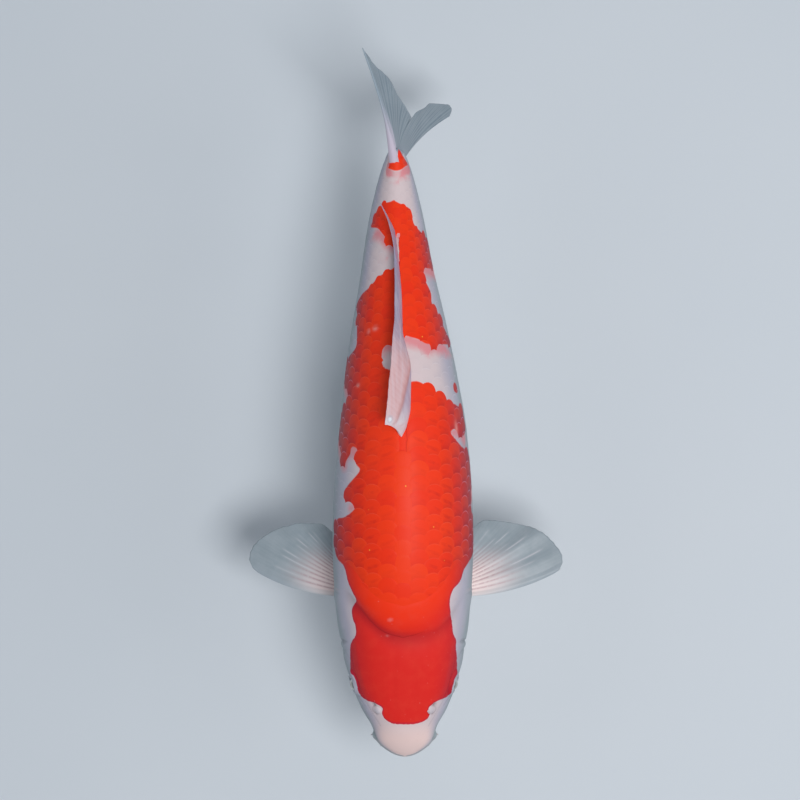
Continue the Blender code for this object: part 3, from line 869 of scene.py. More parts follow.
@dataclass(frozen=True)
class EyeFinish:
    """A carp's eye: black pupil, a thin gold line, a silvery iris with a darker upper part."""

    pupil: Colour = (0.004, 0.004, 0.005)
    gold: Colour = (0.72, 0.48, 0.18)
    iris_low: Colour = (0.56, 0.56, 0.52)
    iris_light: Colour = (0.74, 0.73, 0.68)
    iris_top: Colour = (0.2, 0.225, 0.235)
    fibre: Colour = (0.3, 0.28, 0.24)
    ring: Colour = (0.1, 0.1, 0.115)  # the dark ring round the iris
    ball: Colour = (0.36, 0.38, 0.42)
    pupil_angle: float = 19.0  # the pupil's half width in degrees

    def material(self) -> Material:
        """Return the eyeball's material."""
        p = Palette("koi_eye")
        polar, fibre, cloud = p["polar"], p.noise(0.9, 4, 0.6), p.noise(3)
        top = (p["up"] + 0.3 * (cloud - 0.5)).rise(0.15, 0.75)
        past = polar - self.pupil_angle
        gold = past.rise(0, 1.5) * (1 - past.rise(3, 5))
        iris = p.over(self.iris_low, ((cloud - 0.4).rise(0, 0.3) * 0.6, self.iris_light),
                      (top * 0.85, self.iris_top),
                      ((fibre - 0.5).rise(0, 0.2) * 0.3, self.fibre), (gold * 0.7, self.gold))
        colour = p.over(self.pupil, ((past + 1.2 * (fibre - 0.5)).rise(-0.5, 1), iris),
                        (past.rise(31, 37), self.ring), (past.rise(41, 47), self.ball))
        metal = past.rise(0.5, 2) * (1 - past.rise(27, 31)) * 0.35
        return p.dress(Base_Color=colour, Roughness=0.22 + 0.1 * (cloud - 0.5), Metallic=metal,
                       Coat_Weight=1, Coat_Roughness=0.02, IOR=1.376)


# -------- the skin
@dataclass(frozen=True)
class Stroke:
    """A fold or a groove of the skin along a path of (u, girth angle)."""

    path: Knots
    width: float
    height: float
    # how dark the painted shade in the groove is
    dark: float = 0.0
    taper: float = 0.18

    def trace(self, form: FishForm, places: Array, side: int) -> Array:
        """Return how strongly the stroke is felt at each place, 0 to 1.

        Args:
            form: the fish's body.
            places: places (x, u, z) near the skin, one to a row.
            side: 1 for the fish's left, -1 for its right.

        Returns:
            One number for each place.
        """
        line = rounded_path(self.path, closed=False, steps=7)
        marks = form.place(line[:, 0], line[:, 1] * side)
        reach = 3.2 * self.width
        near = np.flatnonzero(np.all((places > marks.min(0) - reach)
                                     & (places < marks.max(0) + reach), axis=1))
        gap, share, _ = nearest_on(marks, places[near])
        ends = ramp(share, -0.02, self.taper) * ramp(1 - share, -0.02, self.taper)
        felt = np.zeros(len(places))
        felt[near] = hill(gap, self.width) * ends
        return felt


@dataclass
class Modelling:
    """What has been gathered over the head's places: height, painted shade in creases and lips'
    colour.
    """

    height: Array
    # painted shade in creases and pits
    crease: Array
    flesh: Array

    def press(self, felt: Array, rise: float, dark: float) -> None:
        """Raise or sink the skin where it is felt, and darken it with painted shade."""
        self.height += felt * rise
        self.crease += felt * dark


@dataclass
class HeadRelief:
    """What stands up from the plain head or sinks into it, in millimetres."""

    form: FishForm
    nape_depth: float = 2.0  # how deep the soft groove behind the skull lies
    nape_line: Knots = ((-66, 158), (-48, 147), (-33, 133.5), (-17, 120), (-5, 115), (6, 114),
                        (16, 114.6), (27, 117), (41, 126), (50, 135), (56, 142), (66, 157))
    eye_centre: Place = (41.5, 68, 8)
    eye_radius: float = 7.8
    eye_opening: float = 6.3
    eye_droop: float = 1.0  # how far the opening lies below the ball's middle
    eye_aim: Place = (1, -0.13, 0.07)
    slit: Knots = (
        (20.5, 102), (17, 103.5), (12, 106), (7.5, 111), (4, 120), (2, 138), (1.2, 160),
        (1.1, 180))
    strokes: tuple[Stroke, ...] = (
        Stroke(((14, 76), (19, 83), (25, 91), (29, 101)), 1, -0.9, 0.45),  # behind the lip
        Stroke(((15, 85), (18.5, 91), (22, 99)), 2.2, 1.3),  # mouth corner
        Stroke(((15, 72), (21, 77), (27, 85)), 1, -0.6, 0.25),  # above it
        Stroke(((60, 73), (54, 67), (47, 59.5)), 1, -0.6, 0.32),  # before the eye
        Stroke(((33, 74), (40, 80), (48, 84), (57, 82)), 1.1, -0.55, 0.16),
        Stroke(((57, 69), (62, 64), (69, 62.5), (76, 64.5), (82, 70)), 3, 1.9),  # lid
        Stroke(((55, 66), (60, 59.5), (68, 57), (77, 59), (84, 66)), 1, -0.5, 0.12),
        Stroke(((60, 96), (68, 101), (77, 98), (82, 90)), 1.6, 0.6),  # below the eye
        Stroke(((86, 62), (94, 66), (99, 74), (100, 86), (97, 98)), 1.1, -0.45, 0.14),
        Stroke(((104, 70), (107.5, 75), (109, 82)), 0.8, -0.65, 0.4),  # cheek fold
        Stroke(((107, 60), (108, 78), (105, 96), (97, 114), (84, 130), (70, 143)), 1.3, -0.95,
               0.22, 0.1),  # preopercle
        Stroke(((103, 60), (104, 78), (101, 95), (93, 112), (80, 128), (66, 141)), 2.4, 0.5),
        Stroke(((100, 108), (114, 116), (130, 121), (142, 120)), 1.1, -0.7, 0.18),
        Stroke(((88, 127), (104, 134), (118, 138), (130, 137)), 1.1, -0.55, 0.14),
        Stroke(((56, 150), (74, 152), (92, 152), (108, 150)), 1.4, -0.4, 0.08),  # gill rays
        Stroke(((52, 160), (68, 161), (86, 162), (100, 161)), 1.4, -0.4, 0.08),
        Stroke(((48, 170), (62, 170), (80, 171), (93, 172)), 1.4, -0.35, 0.08),
        Stroke(((36, 176), (56, 178), (76, 179), (94, 180)), 1.8, -0.45, 0.08),
        Stroke(((22, 116), (30, 128), (38, 142), (42, 158)), 1.3, -0.6, 0.12),  # jaw hinge
        Stroke(((118, 66), (128, 70), (140, 74), (150, 78)), 5, 0.7),  # cover's crown
        Stroke(((58, 44), (75, 46), (95, 47), (112, 46)), 3.5, 0.35),  # skull's ridges
        Stroke(((40, 12), (60, 10), (85, 8), (104, 6)), 3, -0.25),
        Stroke(((54, 90), (46, 94), (38, 96), (31, 95)), 1, -0.35, 0.1),
        Stroke(((60, 110), (72, 114), (86, 112), (96, 104)), 1.2, -0.35, 0.08))
    # rounded swellings and pits: u, angle, radius, height, darkness of the painted shade in a pit
    swellings: tuple[tuple[float, float, float, float, float], ...] = (
        (18.5, 96, 3.2, 1, 0), (49.8, 40, 1.9, -1.9, 0.75), (41, 42, 1.3, -0.8, 0.5),
        (51, 33, 3, 0.5, 0), (120, 92, 16, 0.9, 0), (88, 84, 8, 0.7, 0),
        (24, 0, 9, 0.4, 0))
    # the flap before each nostril: u, angle, radius, height
    flap: tuple[float, float, float, float] = (44.2, 35, 3.7, 1.7)
    pore_radius: float = 0.75
    pores: tuple[Knots, ...] = (
        ((54, 52), (62, 55), (71, 56), (80, 57), (90, 58), (100, 57)),
        ((57, 92), (63, 99), (71, 104), (80, 104), (88, 98), (94, 88), (96, 76)),
        ((106, 68), (106, 82), (103, 98), (95, 114), (83, 130)),
        ((30, 44), (37, 47), (45, 50), (52, 54)))

    def slit_line(self) -> Array:
        """Return the mouth's slit as places, from the left corner round to the right."""
        half = rounded_path(self.slit, closed=False, steps=6)
        left = self.form.place(half[:, 0], half[:, 1])
        right = self.form.place(half[:, 0], -half[:, 1])[::-1]
        return np.concatenate([left, right[1:]])

    def mouth(self, places: Array) -> Modelling:
        """Shape the lips, places given: two soft rolls on either side of the slit, with painted
        shade in the slit and in the grooves beyond the rolls.
        """
        made = Modelling(*(np.zeros(len(places)) for _ in range(3)))
        near = np.flatnonzero(places[:, 1] < 32)
        away, share, step = nearest_on(self.slit_line(), places[near])
        h = np.where(step[:, 2] >= 0, away, -away)
        ends = ramp(share, -0.005, 0.08) * ramp(1 - share, -0.005, 0.08)
        front = 0.7 + 0.3 * hill(share - 0.5, 0.3)
        rolls = (1.35 * hill(h - 2.7, 1.7) * front + 1.3 * hill(h + 2.7, 1.8) * front
                 - 0.95 * hill(h - 5.9, 0.95) - 0.75 * hill(h + 5.9, 1.1))
        made.height[near] = ends * (rolls - 2.6 * hill(h, 0.75))
        # painted shade in the slit and in the outer grooves
        made.crease[near] = ends * (0.85 * hill(h, 0.7) + 0.22 * hill(h - 5.9, 0.8))
        made.flesh[near] = ends * (hill(h - 2.4, 2) + hill(h + 2.4, 2)) * 0.7
        return made

    def eye_frame(self, side: int) -> tuple[Array, Array]:
        """Return an eye's centre and the way it looks, in the fish's millimetres."""
        x, u, z = self.eye_centre
        centre = np.array([float(self.form.side_bend(u)) + side * x, u, z])
        aim = np.array(self.eye_aim) * np.array([side, 1, 1])
        return centre, unit(aim)

    def sockets(self, places: Array, out: Array) -> tuple[Array, Array, Array]:
        """Open a socket round each eye, with a rim that meets the eyeball.

        Args:
            places: places (x, u, z) on the head.
            out: the skin's outward directions there.

        Returns:
            The moved places, the painted shade round the opening and the rim's paleness.
        """
        places = places.copy()
        dark, pale = np.zeros(len(places)), np.zeros(len(places))
        for side in (1, -1):
            centre, aim = self.eye_frame(side)
            rel = places - centre
            along = rel @ aim
            below = np.array([0, 0, self.eye_droop])
            off = np.linalg.norm(rel - along[:, None] * aim + below, axis=1)
            here = (along > -4) & (off < 22)
            rim = 0.95 * hill(off - 8, 1.4) - 0.45 * hill(off - 11.2, 1.2)
            places += out * np.where(here, rim, 0)[:, None]
            target = np.sqrt(np.maximum(self.eye_radius ** 2 - off ** 2, 0)) - 1.4
            sink = np.where(
                here, 1 - ramp(off, self.eye_opening - 0.5, self.eye_opening + 0.9), 0)
            places += aim * (sink * np.minimum(target - along, 0))[:, None]
            # painted shade at the socket's opening and in the hollow beyond its rim
            dark += np.where(here, 0.4 * hill(off - 6.5, 0.6) + 0.1 * hill(off - 11.2, 1.2), 0)
            pale += np.where(here, hill(off - 8.4, 1.8), 0)
        return places, dark, pale

    def groove(self, u: Array, angle: Array) -> tuple[Array, Array]:
        """Shape the soft groove before the shoulder.

        Args:
            u: distance behind the snout.
            angle: girth angle.

        Returns:
            How deep it is and how dark its painted shade is, lighter on the fish's left, towards
            the key light.
        """
        past = u - SmoothCurve(self.nape_line)(angle)
        shown = (1 - ramp(np.abs(angle), 48, 64)) * ramp(u, 70, 100)
        deep = np.where(past < 0, hill(past, 13), hill(past, 7))
        # painted shade in the groove, lighter on the fish's left, the side the key light comes
        # from
        dark = np.where(past < 0, hill(past, 9), hill(past, 3.5))
        return (self.nape_depth * shown * deep,
                0.42 * shown * dark * (1 - 0.45 * ramp(angle, -20, 30)))

    def felt(self, plain: Array, u: float, angle: float, radius: float) -> Array:
        """Return how strongly a round bump at (u, angle) is felt at each place."""
        return hill(np.linalg.norm(plain - self.form.place(u, angle), axis=1), radius)

    def flaps(self, made: Modelling, plain: Array, u: Array, angle: Array) -> Array:
        """Raise the nostrils' flaps, each fuller towards its rear, with a line of painted shadow
        round its rear edge, and return how they show.
        """
        shown = np.zeros(len(plain))
        flap_u, flap_angle, radius, rise = self.flap
        past = np.abs(angle) - flap_angle
        skew = (u - flap_u) + 0.55 * past
        for side in (1, -1):
            gap = np.linalg.norm(plain - self.form.place(flap_u, flap_angle * side), axis=1)
            gap = gap / radius * (1 - 0.16 * np.clip(skew / radius, -1.5, 1.5))
            shown = np.maximum(shown, 0.9 - 0.9 * ramp(gap, 0.45, 1.15))
            made.height += rise * (1 - ramp(gap, 0.3, 1.2))
            # painted shadow: a dark line round the flap's rear edge
            made.crease += 0.4 * hill(gap - 1.22, 0.14) * ramp(past, -4, 5)
        return shown

    def gill_rim(self, made: Modelling, behind: Array, wide: Array) -> None:
        """Raise the gill cover's rim, with the soft flap behind a fine line of painted shade."""
        lid, rim = ramp(wide, 60, 74), ramp(behind, 0, 6.5)
        made.height += lid * (0.75 * rim * (1 - ramp(behind, 8, 26))
                              - 0.5 * hill(behind - 6.6, 0.9) - 0.45 * (1 - rim))
        # painted shade in the fine line behind the rim
        made.crease += lid * (0.16 * hill(behind - 6.6, 0.8))
        made.flesh += lid * 0.35 * (1 - ramp(behind, 3, 6.5))

    def shape(self, u: Array, angle: Array) -> tuple[Array, Figures]:
        """Model the head.

        Args:
            u: distance behind the snout, flat.
            angle: girth angle, flat.

        Returns:
            The places (x, u, z) and the figures for crease (painted shade in creases, pits and the
            eye sockets), flesh and pale rims.
        """
        form = self.form
        plain, out = form.place(u, angle), form.outward(u, angle)
        made = self.mouth(plain)
        for stroke in self.strokes:
            for side in (1, -1):
                made.press(stroke.trace(form, plain, side), stroke.height, stroke.dark)
        for at_u, at_angle, radius, rise, dark in self.swellings:
            for side in (1, -1) if at_angle else (1,):
                made.press(self.felt(plain, at_u, at_angle * side, radius), rise, dark)
        lobe = self.flaps(made, plain, u, angle)
        # each pore sinks and is darkened by painted shade
        for row in self.pores:
            for side in (1, -1):
                for at_u, at_angle in rounded_path(row, closed=False, steps=4):
                    made.press(self.felt(plain, at_u, at_angle * side, self.pore_radius),
                               -0.35, 0.3)
        # the groove's depth, and its painted shade
        deep, dark = self.groove(u, angle)
        made.height -= deep
        made.crease += dark
        self.gill_rim(made, form.head_edge(angle) - u, np.abs(angle))
        places, socket, pale = self.sockets(plain + out * made.height[:, None], out)
        return places, {"crease": np.clip(made.crease + socket, 0, 1),
                        "flesh": np.clip(made.flesh, 0, 1),
                        "pale": np.clip(np.maximum(pale, lobe), 0, 1)}


@dataclass
class Skin:
    """The koi's one skin, from the lips to the root of the tail fin."""

    form: FishForm
    markings: Markings
    relief: HeadRelief
    around: int = 300
    head_rings: int = 248
    coat_depth: float = 1.25
    level_from: float = 300.0  # behind this the rings stand straight across
    stem_tip: tuple[float, float] = (552.5, 3)  # u and z where the skin closes
    barbel_shape: tuple[int, int] = (26, 14)  # a barbel's rings and points to a ring
    nodes: tuple[str, ...] = (
        "head", "lower_jaw", "gill_cover_left", "gill_cover_right", "trunk_front", "trunk_rear",
        "tail_stem", "barbel_front_left", "barbel_front_right", "barbel_rear_left",
        "barbel_rear_right")

    def columns(self) -> Array:
        """Return the girth angles of the columns, closest where the face has most detail."""
        fine = np.linspace(-180, 180, 3601)
        wide = np.abs(fine)
        weight = 1 + 1 * hill(wide - 76, 27) + 0.45 * hill(wide - 37, 11)
        share = np.concatenate([[0], np.cumsum((weight[1:] + weight[:-1]) / 2)])
        return np.interp(np.arange(self.around) / self.around * share[-1], share, fine)

    def figures(self, u: Array, angle: Array) -> Figures:
        """Return the markings and the lie of the colours at points of the body."""
        past = u - self.form.head_edge(angle)
        snout = (1 - ramp(u, 16, 40)) * (1 - ramp(np.abs(angle), 40, 85))
        return {**self.markings.colouring(u, angle), "red": self.markings.depth(u, angle),
                "head": 1 - ramp(past, -9, 26), "web": ramp(u, 546, 553),
                "snout": snout}

    def head_share(self) -> Array:
        """Return each head ring's share of the way to the head's edge, close at the lips."""
        step = np.linspace(0, 1, self.head_rings + 1)[1:]
        return step ** 2 / (step + 0.055) * 1.055

    def trunk_rings(self, rear: Array) -> Array:
        """Return the trunk rings' u: close behind the head and at the tail, for its columns."""
        near = np.concatenate([[0.8, 2, 3.6, 5.6, 8], np.linspace(11, 60, 18)])
        near = near[:, None] + self.form.head_edge(rear)[None, :]
        far = np.linspace(0, 1, 26)[1:, None]
        middle = near[-1:] * (1 - far) + self.level_from * far
        back = np.concatenate([np.arange(304, 520, 4.5), np.arange(520, 563.5, 1.8)])
        return np.concatenate([near, middle, np.repeat(back[:, None], len(rear), axis=1)])

    def trunk(self, u: Array, angle: Array) -> tuple[Array, Array]:
        """Lay the trunk a scale's depth below the plain form.

        Args:
            u: distance behind the snout.
            angle: girth angle.

        Returns:
            The places (x, u, z) and how dark the groove's painted shade makes the skin there.
        """
        form, nape = self.form, Coat.nape(angle)
        behind = u - form.head_edge(angle)
        sunk = self.coat_depth * ramp(behind - 24 * nape, 0, 14)
        sunk -= 0.35 * nape * ramp(behind, 2, 13) * (1 - ramp(behind, 30, 60))
        sunk += 0.9 * ramp(np.abs(angle), 60, 76) * hill(behind, 5)
        deep, dark = self.relief.groove(u, angle)
        places = form.place(u, angle, -(sunk + deep) * (1 - ramp(u, 540, 552)))
        # the stem's last stretch narrows away between the lobes of the tail fin
        middle, level = form.side_bend(u), self.stem_tip[1]
        start = 548 + 5.5 * ramp(places[..., 2], 6, 24)
        narrow = ramp(u, start, form.length)
        places[..., 0] = middle + (places[..., 0] - middle) * (1 - 0.65 * narrow)
        places[..., 1] -= 0.78 * np.maximum(u - start, 0)
        places[..., 2] = level + (places[..., 2] - level) * (1 - 0.45 * narrow)
        return places, dark

    def build(self, finish: SkinFinish) -> Piece:
        """Make the skin with its barbels."""
        form, kit = self.form, MeshKit()
        angles = self.columns()
        rear = angles[::2]
        edge = form.head_edge(angles)
        head_u, trunk_u = self.head_share()[:, None] * edge, self.trunk_rings(rear)
        rear_a = np.broadcast_to(rear, trunk_u.shape)
        u = np.concatenate([[1e-4], head_u.ravel()])
        angle = np.concatenate([[180], np.broadcast_to(angles, head_u.shape).ravel()])
        head, shown = self.relief.shape(u, angle)
        # under the lid the skin turns in, and behind it runs on below the scales
        lid = ramp(np.abs(angles), 60, 76)
        fold_u = edge + 0.4 * (1 - lid)
        deep, fold_shade = self.relief.groove(fold_u, angles)
        fold = form.place(fold_u - 0.3 * lid, angles, -deep - 2.5 * lid)
        trunk, trunk_shade = self.trunk(trunk_u, rear_a)
        tip = np.array([[form.side_bend(form.length), *self.stem_tip]])
        u = np.concatenate([u, edge, trunk_u.ravel(), [form.length]])
        angle = np.concatenate([angle, angles, rear_a.ravel(), [0]])
        figures = self.figures(u, angle)
        nothing = np.zeros(len(u) - len(head))
        # painted shade: the groove's, and more under the gill lid where the skin turns in
        creases = np.concatenate([fold_shade + 0.45 * lid, trunk_shade.ravel(), [0]])
        for key, rest in (("crease", creases), ("flesh", nothing), ("pale", nothing)):
            figures[key] = np.concatenate([shown[key], rest])
        figures["red"] = np.where(figures["pale"] > 0.45, -3, figures["red"])
        kit.add(form.metres(np.concatenate([head, fold, trunk.reshape(-1, 3), tip])), figures)
        self.join_rings(kit, u, angle, len(trunk_u))
        for side in (1, -1):
            self.add_barbel(kit, side, (10, 104), 7, 1.8)
            self.add_barbel(kit, side, (20, 106), 20, 2.6)
        LOG.info("skin: %d triangles", kit.triangles())
        piece = kit.build("koi_skin", finish.material())
        return settle(piece, "head_skin", *self.nodes)

    def join_rings(self, kit: MeshKit, u: Array, angle: Array, trunk_rows: int) -> None:
        """Join the snout's fan, the head, the fold, the trunk and the stem's end.

        Args:
            kit: the mesh, whose vertices are there already.
            u: distance behind the snout for each vertex.
            angle: girth angle for each vertex.
            trunk_rows: how many rings the trunk has.
        """
        turn, run = angle / 360 + 0.5, 0.06 + 0.94 * u / self.form.length
        wide_n, rear_n = self.around, self.around // 2
        fold = 1 + self.head_rings * wide_n
        trunk = fold + wide_n
        last = trunk + (trunk_rows - 1) * rear_n

        def put(faces: Array, point: int | None = None) -> None:
            """Add faces with their map; point is the corner at a fan's middle, if any."""
            spread = turn[faces]
            if point is not None:
                spread[:, point] = spread[:, 2 - point]
            spread += spread.max(axis=1, keepdims=True) - spread > 0.5  # across the seam
            kit.join(faces, np.stack([spread, run[faces]], axis=-1))

        c, k = np.arange(wide_n), np.arange(rear_n)
        after = (k + 1) % rear_n
        put(np.stack([0 * c, 1 + (c + 1) % wide_n, 1 + c], axis=1), 0)
        put(grid_faces(self.head_rings + 1, wide_n, wrap=True) + 1)
        put(np.stack([fold + 2 * k, fold + 2 * k + 1, fold + (2 * k + 2) % wide_n,
                      trunk + after, trunk + k], axis=1))
        put(grid_faces(trunk_rows, rear_n, wrap=True) + trunk)
        put(np.stack([last + k, last + after, 0 * k + len(u) - 1], axis=1), 2)

    def add_barbel(self, kit: MeshKit, side: int, root: tuple[float, float], length: float,
                   thickness: float) -> None:
        """Add a tapering feeler that leaves the lip and bends down and back.

        Args:
            kit: the mesh to add to.
            side: 1 for the fish's left, -1 for its right.
            root: u and girth angle of its root.
            length: its length in millimetres.
            thickness: its thickness near the root.
        """
        form = self.form
        out = form.outward(np.array([root[0]]), np.array([side * root[1]]))[0]
        start = form.place(root[0], side * root[1])
        droop = unit(np.array([0.1 * side, -0.15, -0.95]))
        turn = np.linspace(0, math.tau, self.barbel_shape[1], endpoint=False)
        rows = []
        for f in np.linspace(-0.12, 1, self.barbel_shape[0]):
            g = max(f, 0)
            middle = start + out * (0.6 + length * 0.25 * f * (1 - f / 2)) \
                + droop * length * g * g * 0.8
            ahead = unit(out * 0.25 * (1 - f) + droop * 1.6 * g)
            over = unit(np.cross(ahead, np.array([0, 1, 0])))
            radius = thickness / 2 * (1 - 0.62 * g) * math.sqrt(max(1 - g ** 14, 0.03))
            radius *= 1 + 0.7 * math.exp(-(g / 0.1) ** 2)
            radius *= 1 + 0.02 * math.sin(f * 70)
            rows.append(middle + radius * (np.cos(turn)[:, None] * over
                                           + np.sin(turn)[:, None] * np.cross(ahead, over)))
        self.add_tube(kit, np.array(rows)[:, ::-1], root, 0.02 + 0.12 * (5 + (side > 0)))

    def add_tube(self, kit: MeshKit, rows: Array, root: tuple[float, float], field_x: float
                 ) -> None:
        """Add a closed tube of rings in the skin's white, with its own small field of the map."""
        count, columns = rows.shape[:2]
        total = count * columns
        figures = self.figures(np.full(total, root[0]), np.full(total, root[1]))
        for key, value in {"red": -9, "flesh": 0.45, "blush": 0, "crease": 0, "pale": 0}.items():
            figures[key] = np.full(total, value)
        kit.add(self.form.metres(rows), figures)
        r = np.repeat(np.arange(count), columns) / (count - 1)
        c = np.tile(np.arange(columns), count) / columns
        spots = np.stack([field_x + 0.1 * c, 0.005 + 0.045 * r], axis=1)
        ring = np.arange(columns)[None]
        for faces in (grid_faces(count, columns, wrap=True), ring[:, ::-1],
                      ring + total - columns):
            kit.join(faces, spots[faces])


# -------- the coat
class Flank(Enum):
    """Which length of the body a coat piece covers: its first and last u."""

    FRONT = (96, 262)
    MIDDLE = (262, 386)
    REAR = (386, 560)


@dataclass
class Coat:
    """Overlapping scales in rows along the lateral line, each a closed thin shell.

    What is known of a set of scales is kept by name: u, row, side, angle, vary, at and young
    for each scale; x, y, p, inner and rim of the grid they share; all_u and all_angles for
    every point.
    """

    RIDGE, KEEL = 99, -99  # the numbers of the single rows along back and belly

    form: FishForm
    markings: Markings
    relief: HeadRelief
    rows_above: int = 8  # from the lateral line up to the row on the ridge
    rows_below: int = 10
    pitch: SmoothCurve = field(default_factory=lambda: SmoothCurve(
        ((100, 12.4), (235, 13.3), (310, 13), (380, 12.2), (440, 11), (500, 8.9),
         (556, 7.6))))
    lateral_angle: float = 93.0
    rake: float = 0.38
    length_share: float = 2.0
    width_share: float = 1.56
    root_depth: float = 0.36
    tip_height: float = 0.04
    shell: float = 0.22
    along: int = 13
    across: int = 12
    last_u: float = 549.0  # the coat ends here, at the tail fin's root
    sail: tuple[float, float] = (284, 482)  # where the back fin takes up the ridge
    lone_spot: tuple[float, float] = (338, 66)  # the small spot that crosses its scales
    seed: int = 11

    def spacing(self, u: Array) -> Array:
        """Return how far apart the rows run at a length, so that they close up evenly."""
        return self.form.arc(u, np.full(np.shape(u), self.lateral_angle)) / self.rows_above

    def row_arc(self, row: Array, u: Array) -> Array:
        """Return how far round from the back a row runs; rows count up from the lateral line."""
        arc = self.form.arc(u, np.full(np.shape(u), self.lateral_angle)) - row * self.spacing(u)
        arc = np.where(row == self.RIDGE, 0, arc)
        return np.where(row == self.KEEL, self.form.half_girth(u), arc)

    def centres(self) -> Figures:
        """Choose where every scale sits: its u, row, side and girth angle."""
        u_table = np.linspace(80, 575, 991)
        passed = np.concatenate([[0], np.cumsum(0.5 / self.pitch(u_table[1:] - 0.25))])
        numbers = np.arange(int(passed[-1]) + 3)
        found: list[tuple[float, ...]] = []
        for row in range(-self.rows_below, self.rows_above):
            us = np.interp(numbers + (0.1 - self.rake * row) % 1, passed, u_table)
            arcs, rooms = self.row_arc(row, us), self.form.half_girth(us) - 0.5 * self.spacing(us)
            for u, arc, room in zip(us, arcs, rooms):
                if 4 < arc < room:
                    found += [(u, row, 1), (u, row, -1)]
        us = np.interp(numbers + (0.1 - self.rake * self.rows_above) % 1, passed, u_table)
        for u in us:
            if not self.sail[0] <= u <= self.sail[1]:
                found.append((u, self.RIDGE, 1))
            found.append((u, self.KEEL, 1))
        u, row, side = np.array(found).T
        angle = self.form.angle_at(u, self.row_arc(row, u) * side)
        start = self.form.head_edge(angle) + 1.5 + 15 * self.nape(angle)
        keep = (u > start) & (u < self.last_u) & ~self.at_fins(u, angle)
        return {"u": u[keep], "row": row[keep], "side": side[keep], "angle": angle[keep]}

    @staticmethod
    def nape(angle: Array) -> Array:
        """Return 1 on the smooth shoulder behind the head, fading out down the sides."""
        return 1 - ramp(np.abs(angle), 50, 68)

    @staticmethod
    def at_fins(u: Array, angle: Array) -> Array:
        """Return which places are taken by a fin's fleshy root."""
        wide = np.abs(angle)
        pectoral = np.hypot((u - 158) / 15, (wide - 128) / 8) < 1
        pelvic = np.hypot((u - 298) / 13, (wide - 165) / 6) < 1
        anal = (np.abs(u - 446) < 23) & (wide > 172)
        return pectoral | pelvic | anal

    def template(self) -> Figures:
        """Return one scale's own grid: x along, y across, p from root to tip, and its rim."""
        a, b = np.meshgrid(np.linspace(-1, 1, self.along), np.linspace(-1, 1, self.across),
                           indexing="ij")
        a, b = (signed_power(v, 0.78) for v in (a, b))
        lean = np.where(a > 0, 1, 0.55)
        x = (a * np.sqrt(1 - lean * b * b / 2)).ravel()
        y = (b * np.sqrt(1 - lean * a * a / 2)).ravel()
        inner = 1 - np.maximum(np.abs(a), np.abs(b)).ravel()
        return {"x": x, "y": y, "p": (x + 1) / 2, "inner": inner,
                "rim": grid_rim(self.along, self.across)}

    def lay(self, c: Figures) -> tuple[Array, Array]:
        """Return u and girth angle of every scale's points, a scale to a row."""
        form, at, p, y = self.form, c["at"], c["p"], c["y"]
        long, wide = self.pitch(at) * self.length_share, self.spacing(at) * self.width_share
        wide = np.where(c["row"] == self.RIDGE, wide * 1.08, wide)
        long, wide, turn = (v[:, None] for v in (long, wide, 0.02 * c["vary"][1]))
        u = np.minimum(at[:, None] + (p - 0.75) * long, form.length - 1)
        arc = (self.row_arc(c["row"][:, None], u) * c["side"][:, None] + y * wide / 2
               + turn * (p - 0.5) * long)
        half = form.half_girth(u)
        arc = np.where(np.abs(arc) > half, -np.sign(arc) * (2 * half - np.abs(arc)), arc)
        angle = form.angle_at(u, arc)
        u = np.where(np.abs(angle) > 120, np.minimum(u, self.last_u), u)
        brow = form.head_edge(angle) + 2
        return np.where(self.nape(angle) > 0.3, np.maximum(u, brow + 0.01 * p), u), angle

    def heights(self, c: Figures) -> Array:
        """Return how far each point stands proud: its root deep, its tip over the next."""
        u, angle, row = c["all_u"], c["all_angles"], c["row"][:, None]
        y, p, young = c["y"], c["p"], c["young"]
        past = c["at"] - self.form.head_edge(c["angle"])
        smooth = self.nape(c["angle"]) * hill(past, 34)
        steep = 0.35 + 0.65 * ramp(np.abs(c["angle"]), 8, 42)
        lift = self.tip_height * (0.4 + 0.6 * young) + 0.05 * c["vary"][2] * young
        root = self.root_depth * (0.4 + 0.6 * young * steep)
        root = np.where(c["row"] == self.RIDGE, 0.7 * root, root)
        lift, root, smooth = (v[:, None] for v in (lift, root, smooth))
        proud = -root + (root + lift) * p ** 1.1 - 0.14 * y ** 4
        proud += np.where(row == self.RIDGE, 0.02 - 0.3 * np.abs(y) ** 3, 0) + 0.42 * smooth
        emerged = ramp(u - self.form.head_edge(angle), 14, 40)
        proud -= 0.55 * self.nape(angle) * (1 - emerged) + self.relief.groove(u, angle)[0]
        proud -= 0.09 * (1 - ramp(c["inner"], 0, 0.16))
        tube = hill(y, 0.09) * ramp(p, 0.45, 0.6) * (1 - ramp(p, 0.8, 0.9))
        return proud + np.where(row == 0, 0.3 * tube, 0)

    def build(self, flank: Flank, finish: Material) -> Piece:
        """Make the scales of one length of the body."""
        form, c = self.form, self.centres()
        low, high = flank.value
        chosen = (c["u"] >= low) & (c["u"] < high)
        c = {key: values[chosen] for key, values in c.items()} | self.template()
        n, size, rim = len(c["u"]), c["x"].size, c["rim"]
        c["vary"] = np.random.default_rng(self.seed + int(low)).normal(0, 1, (4, n))
        c["at"] = c["u"] + 0.35 * c["vary"][0]
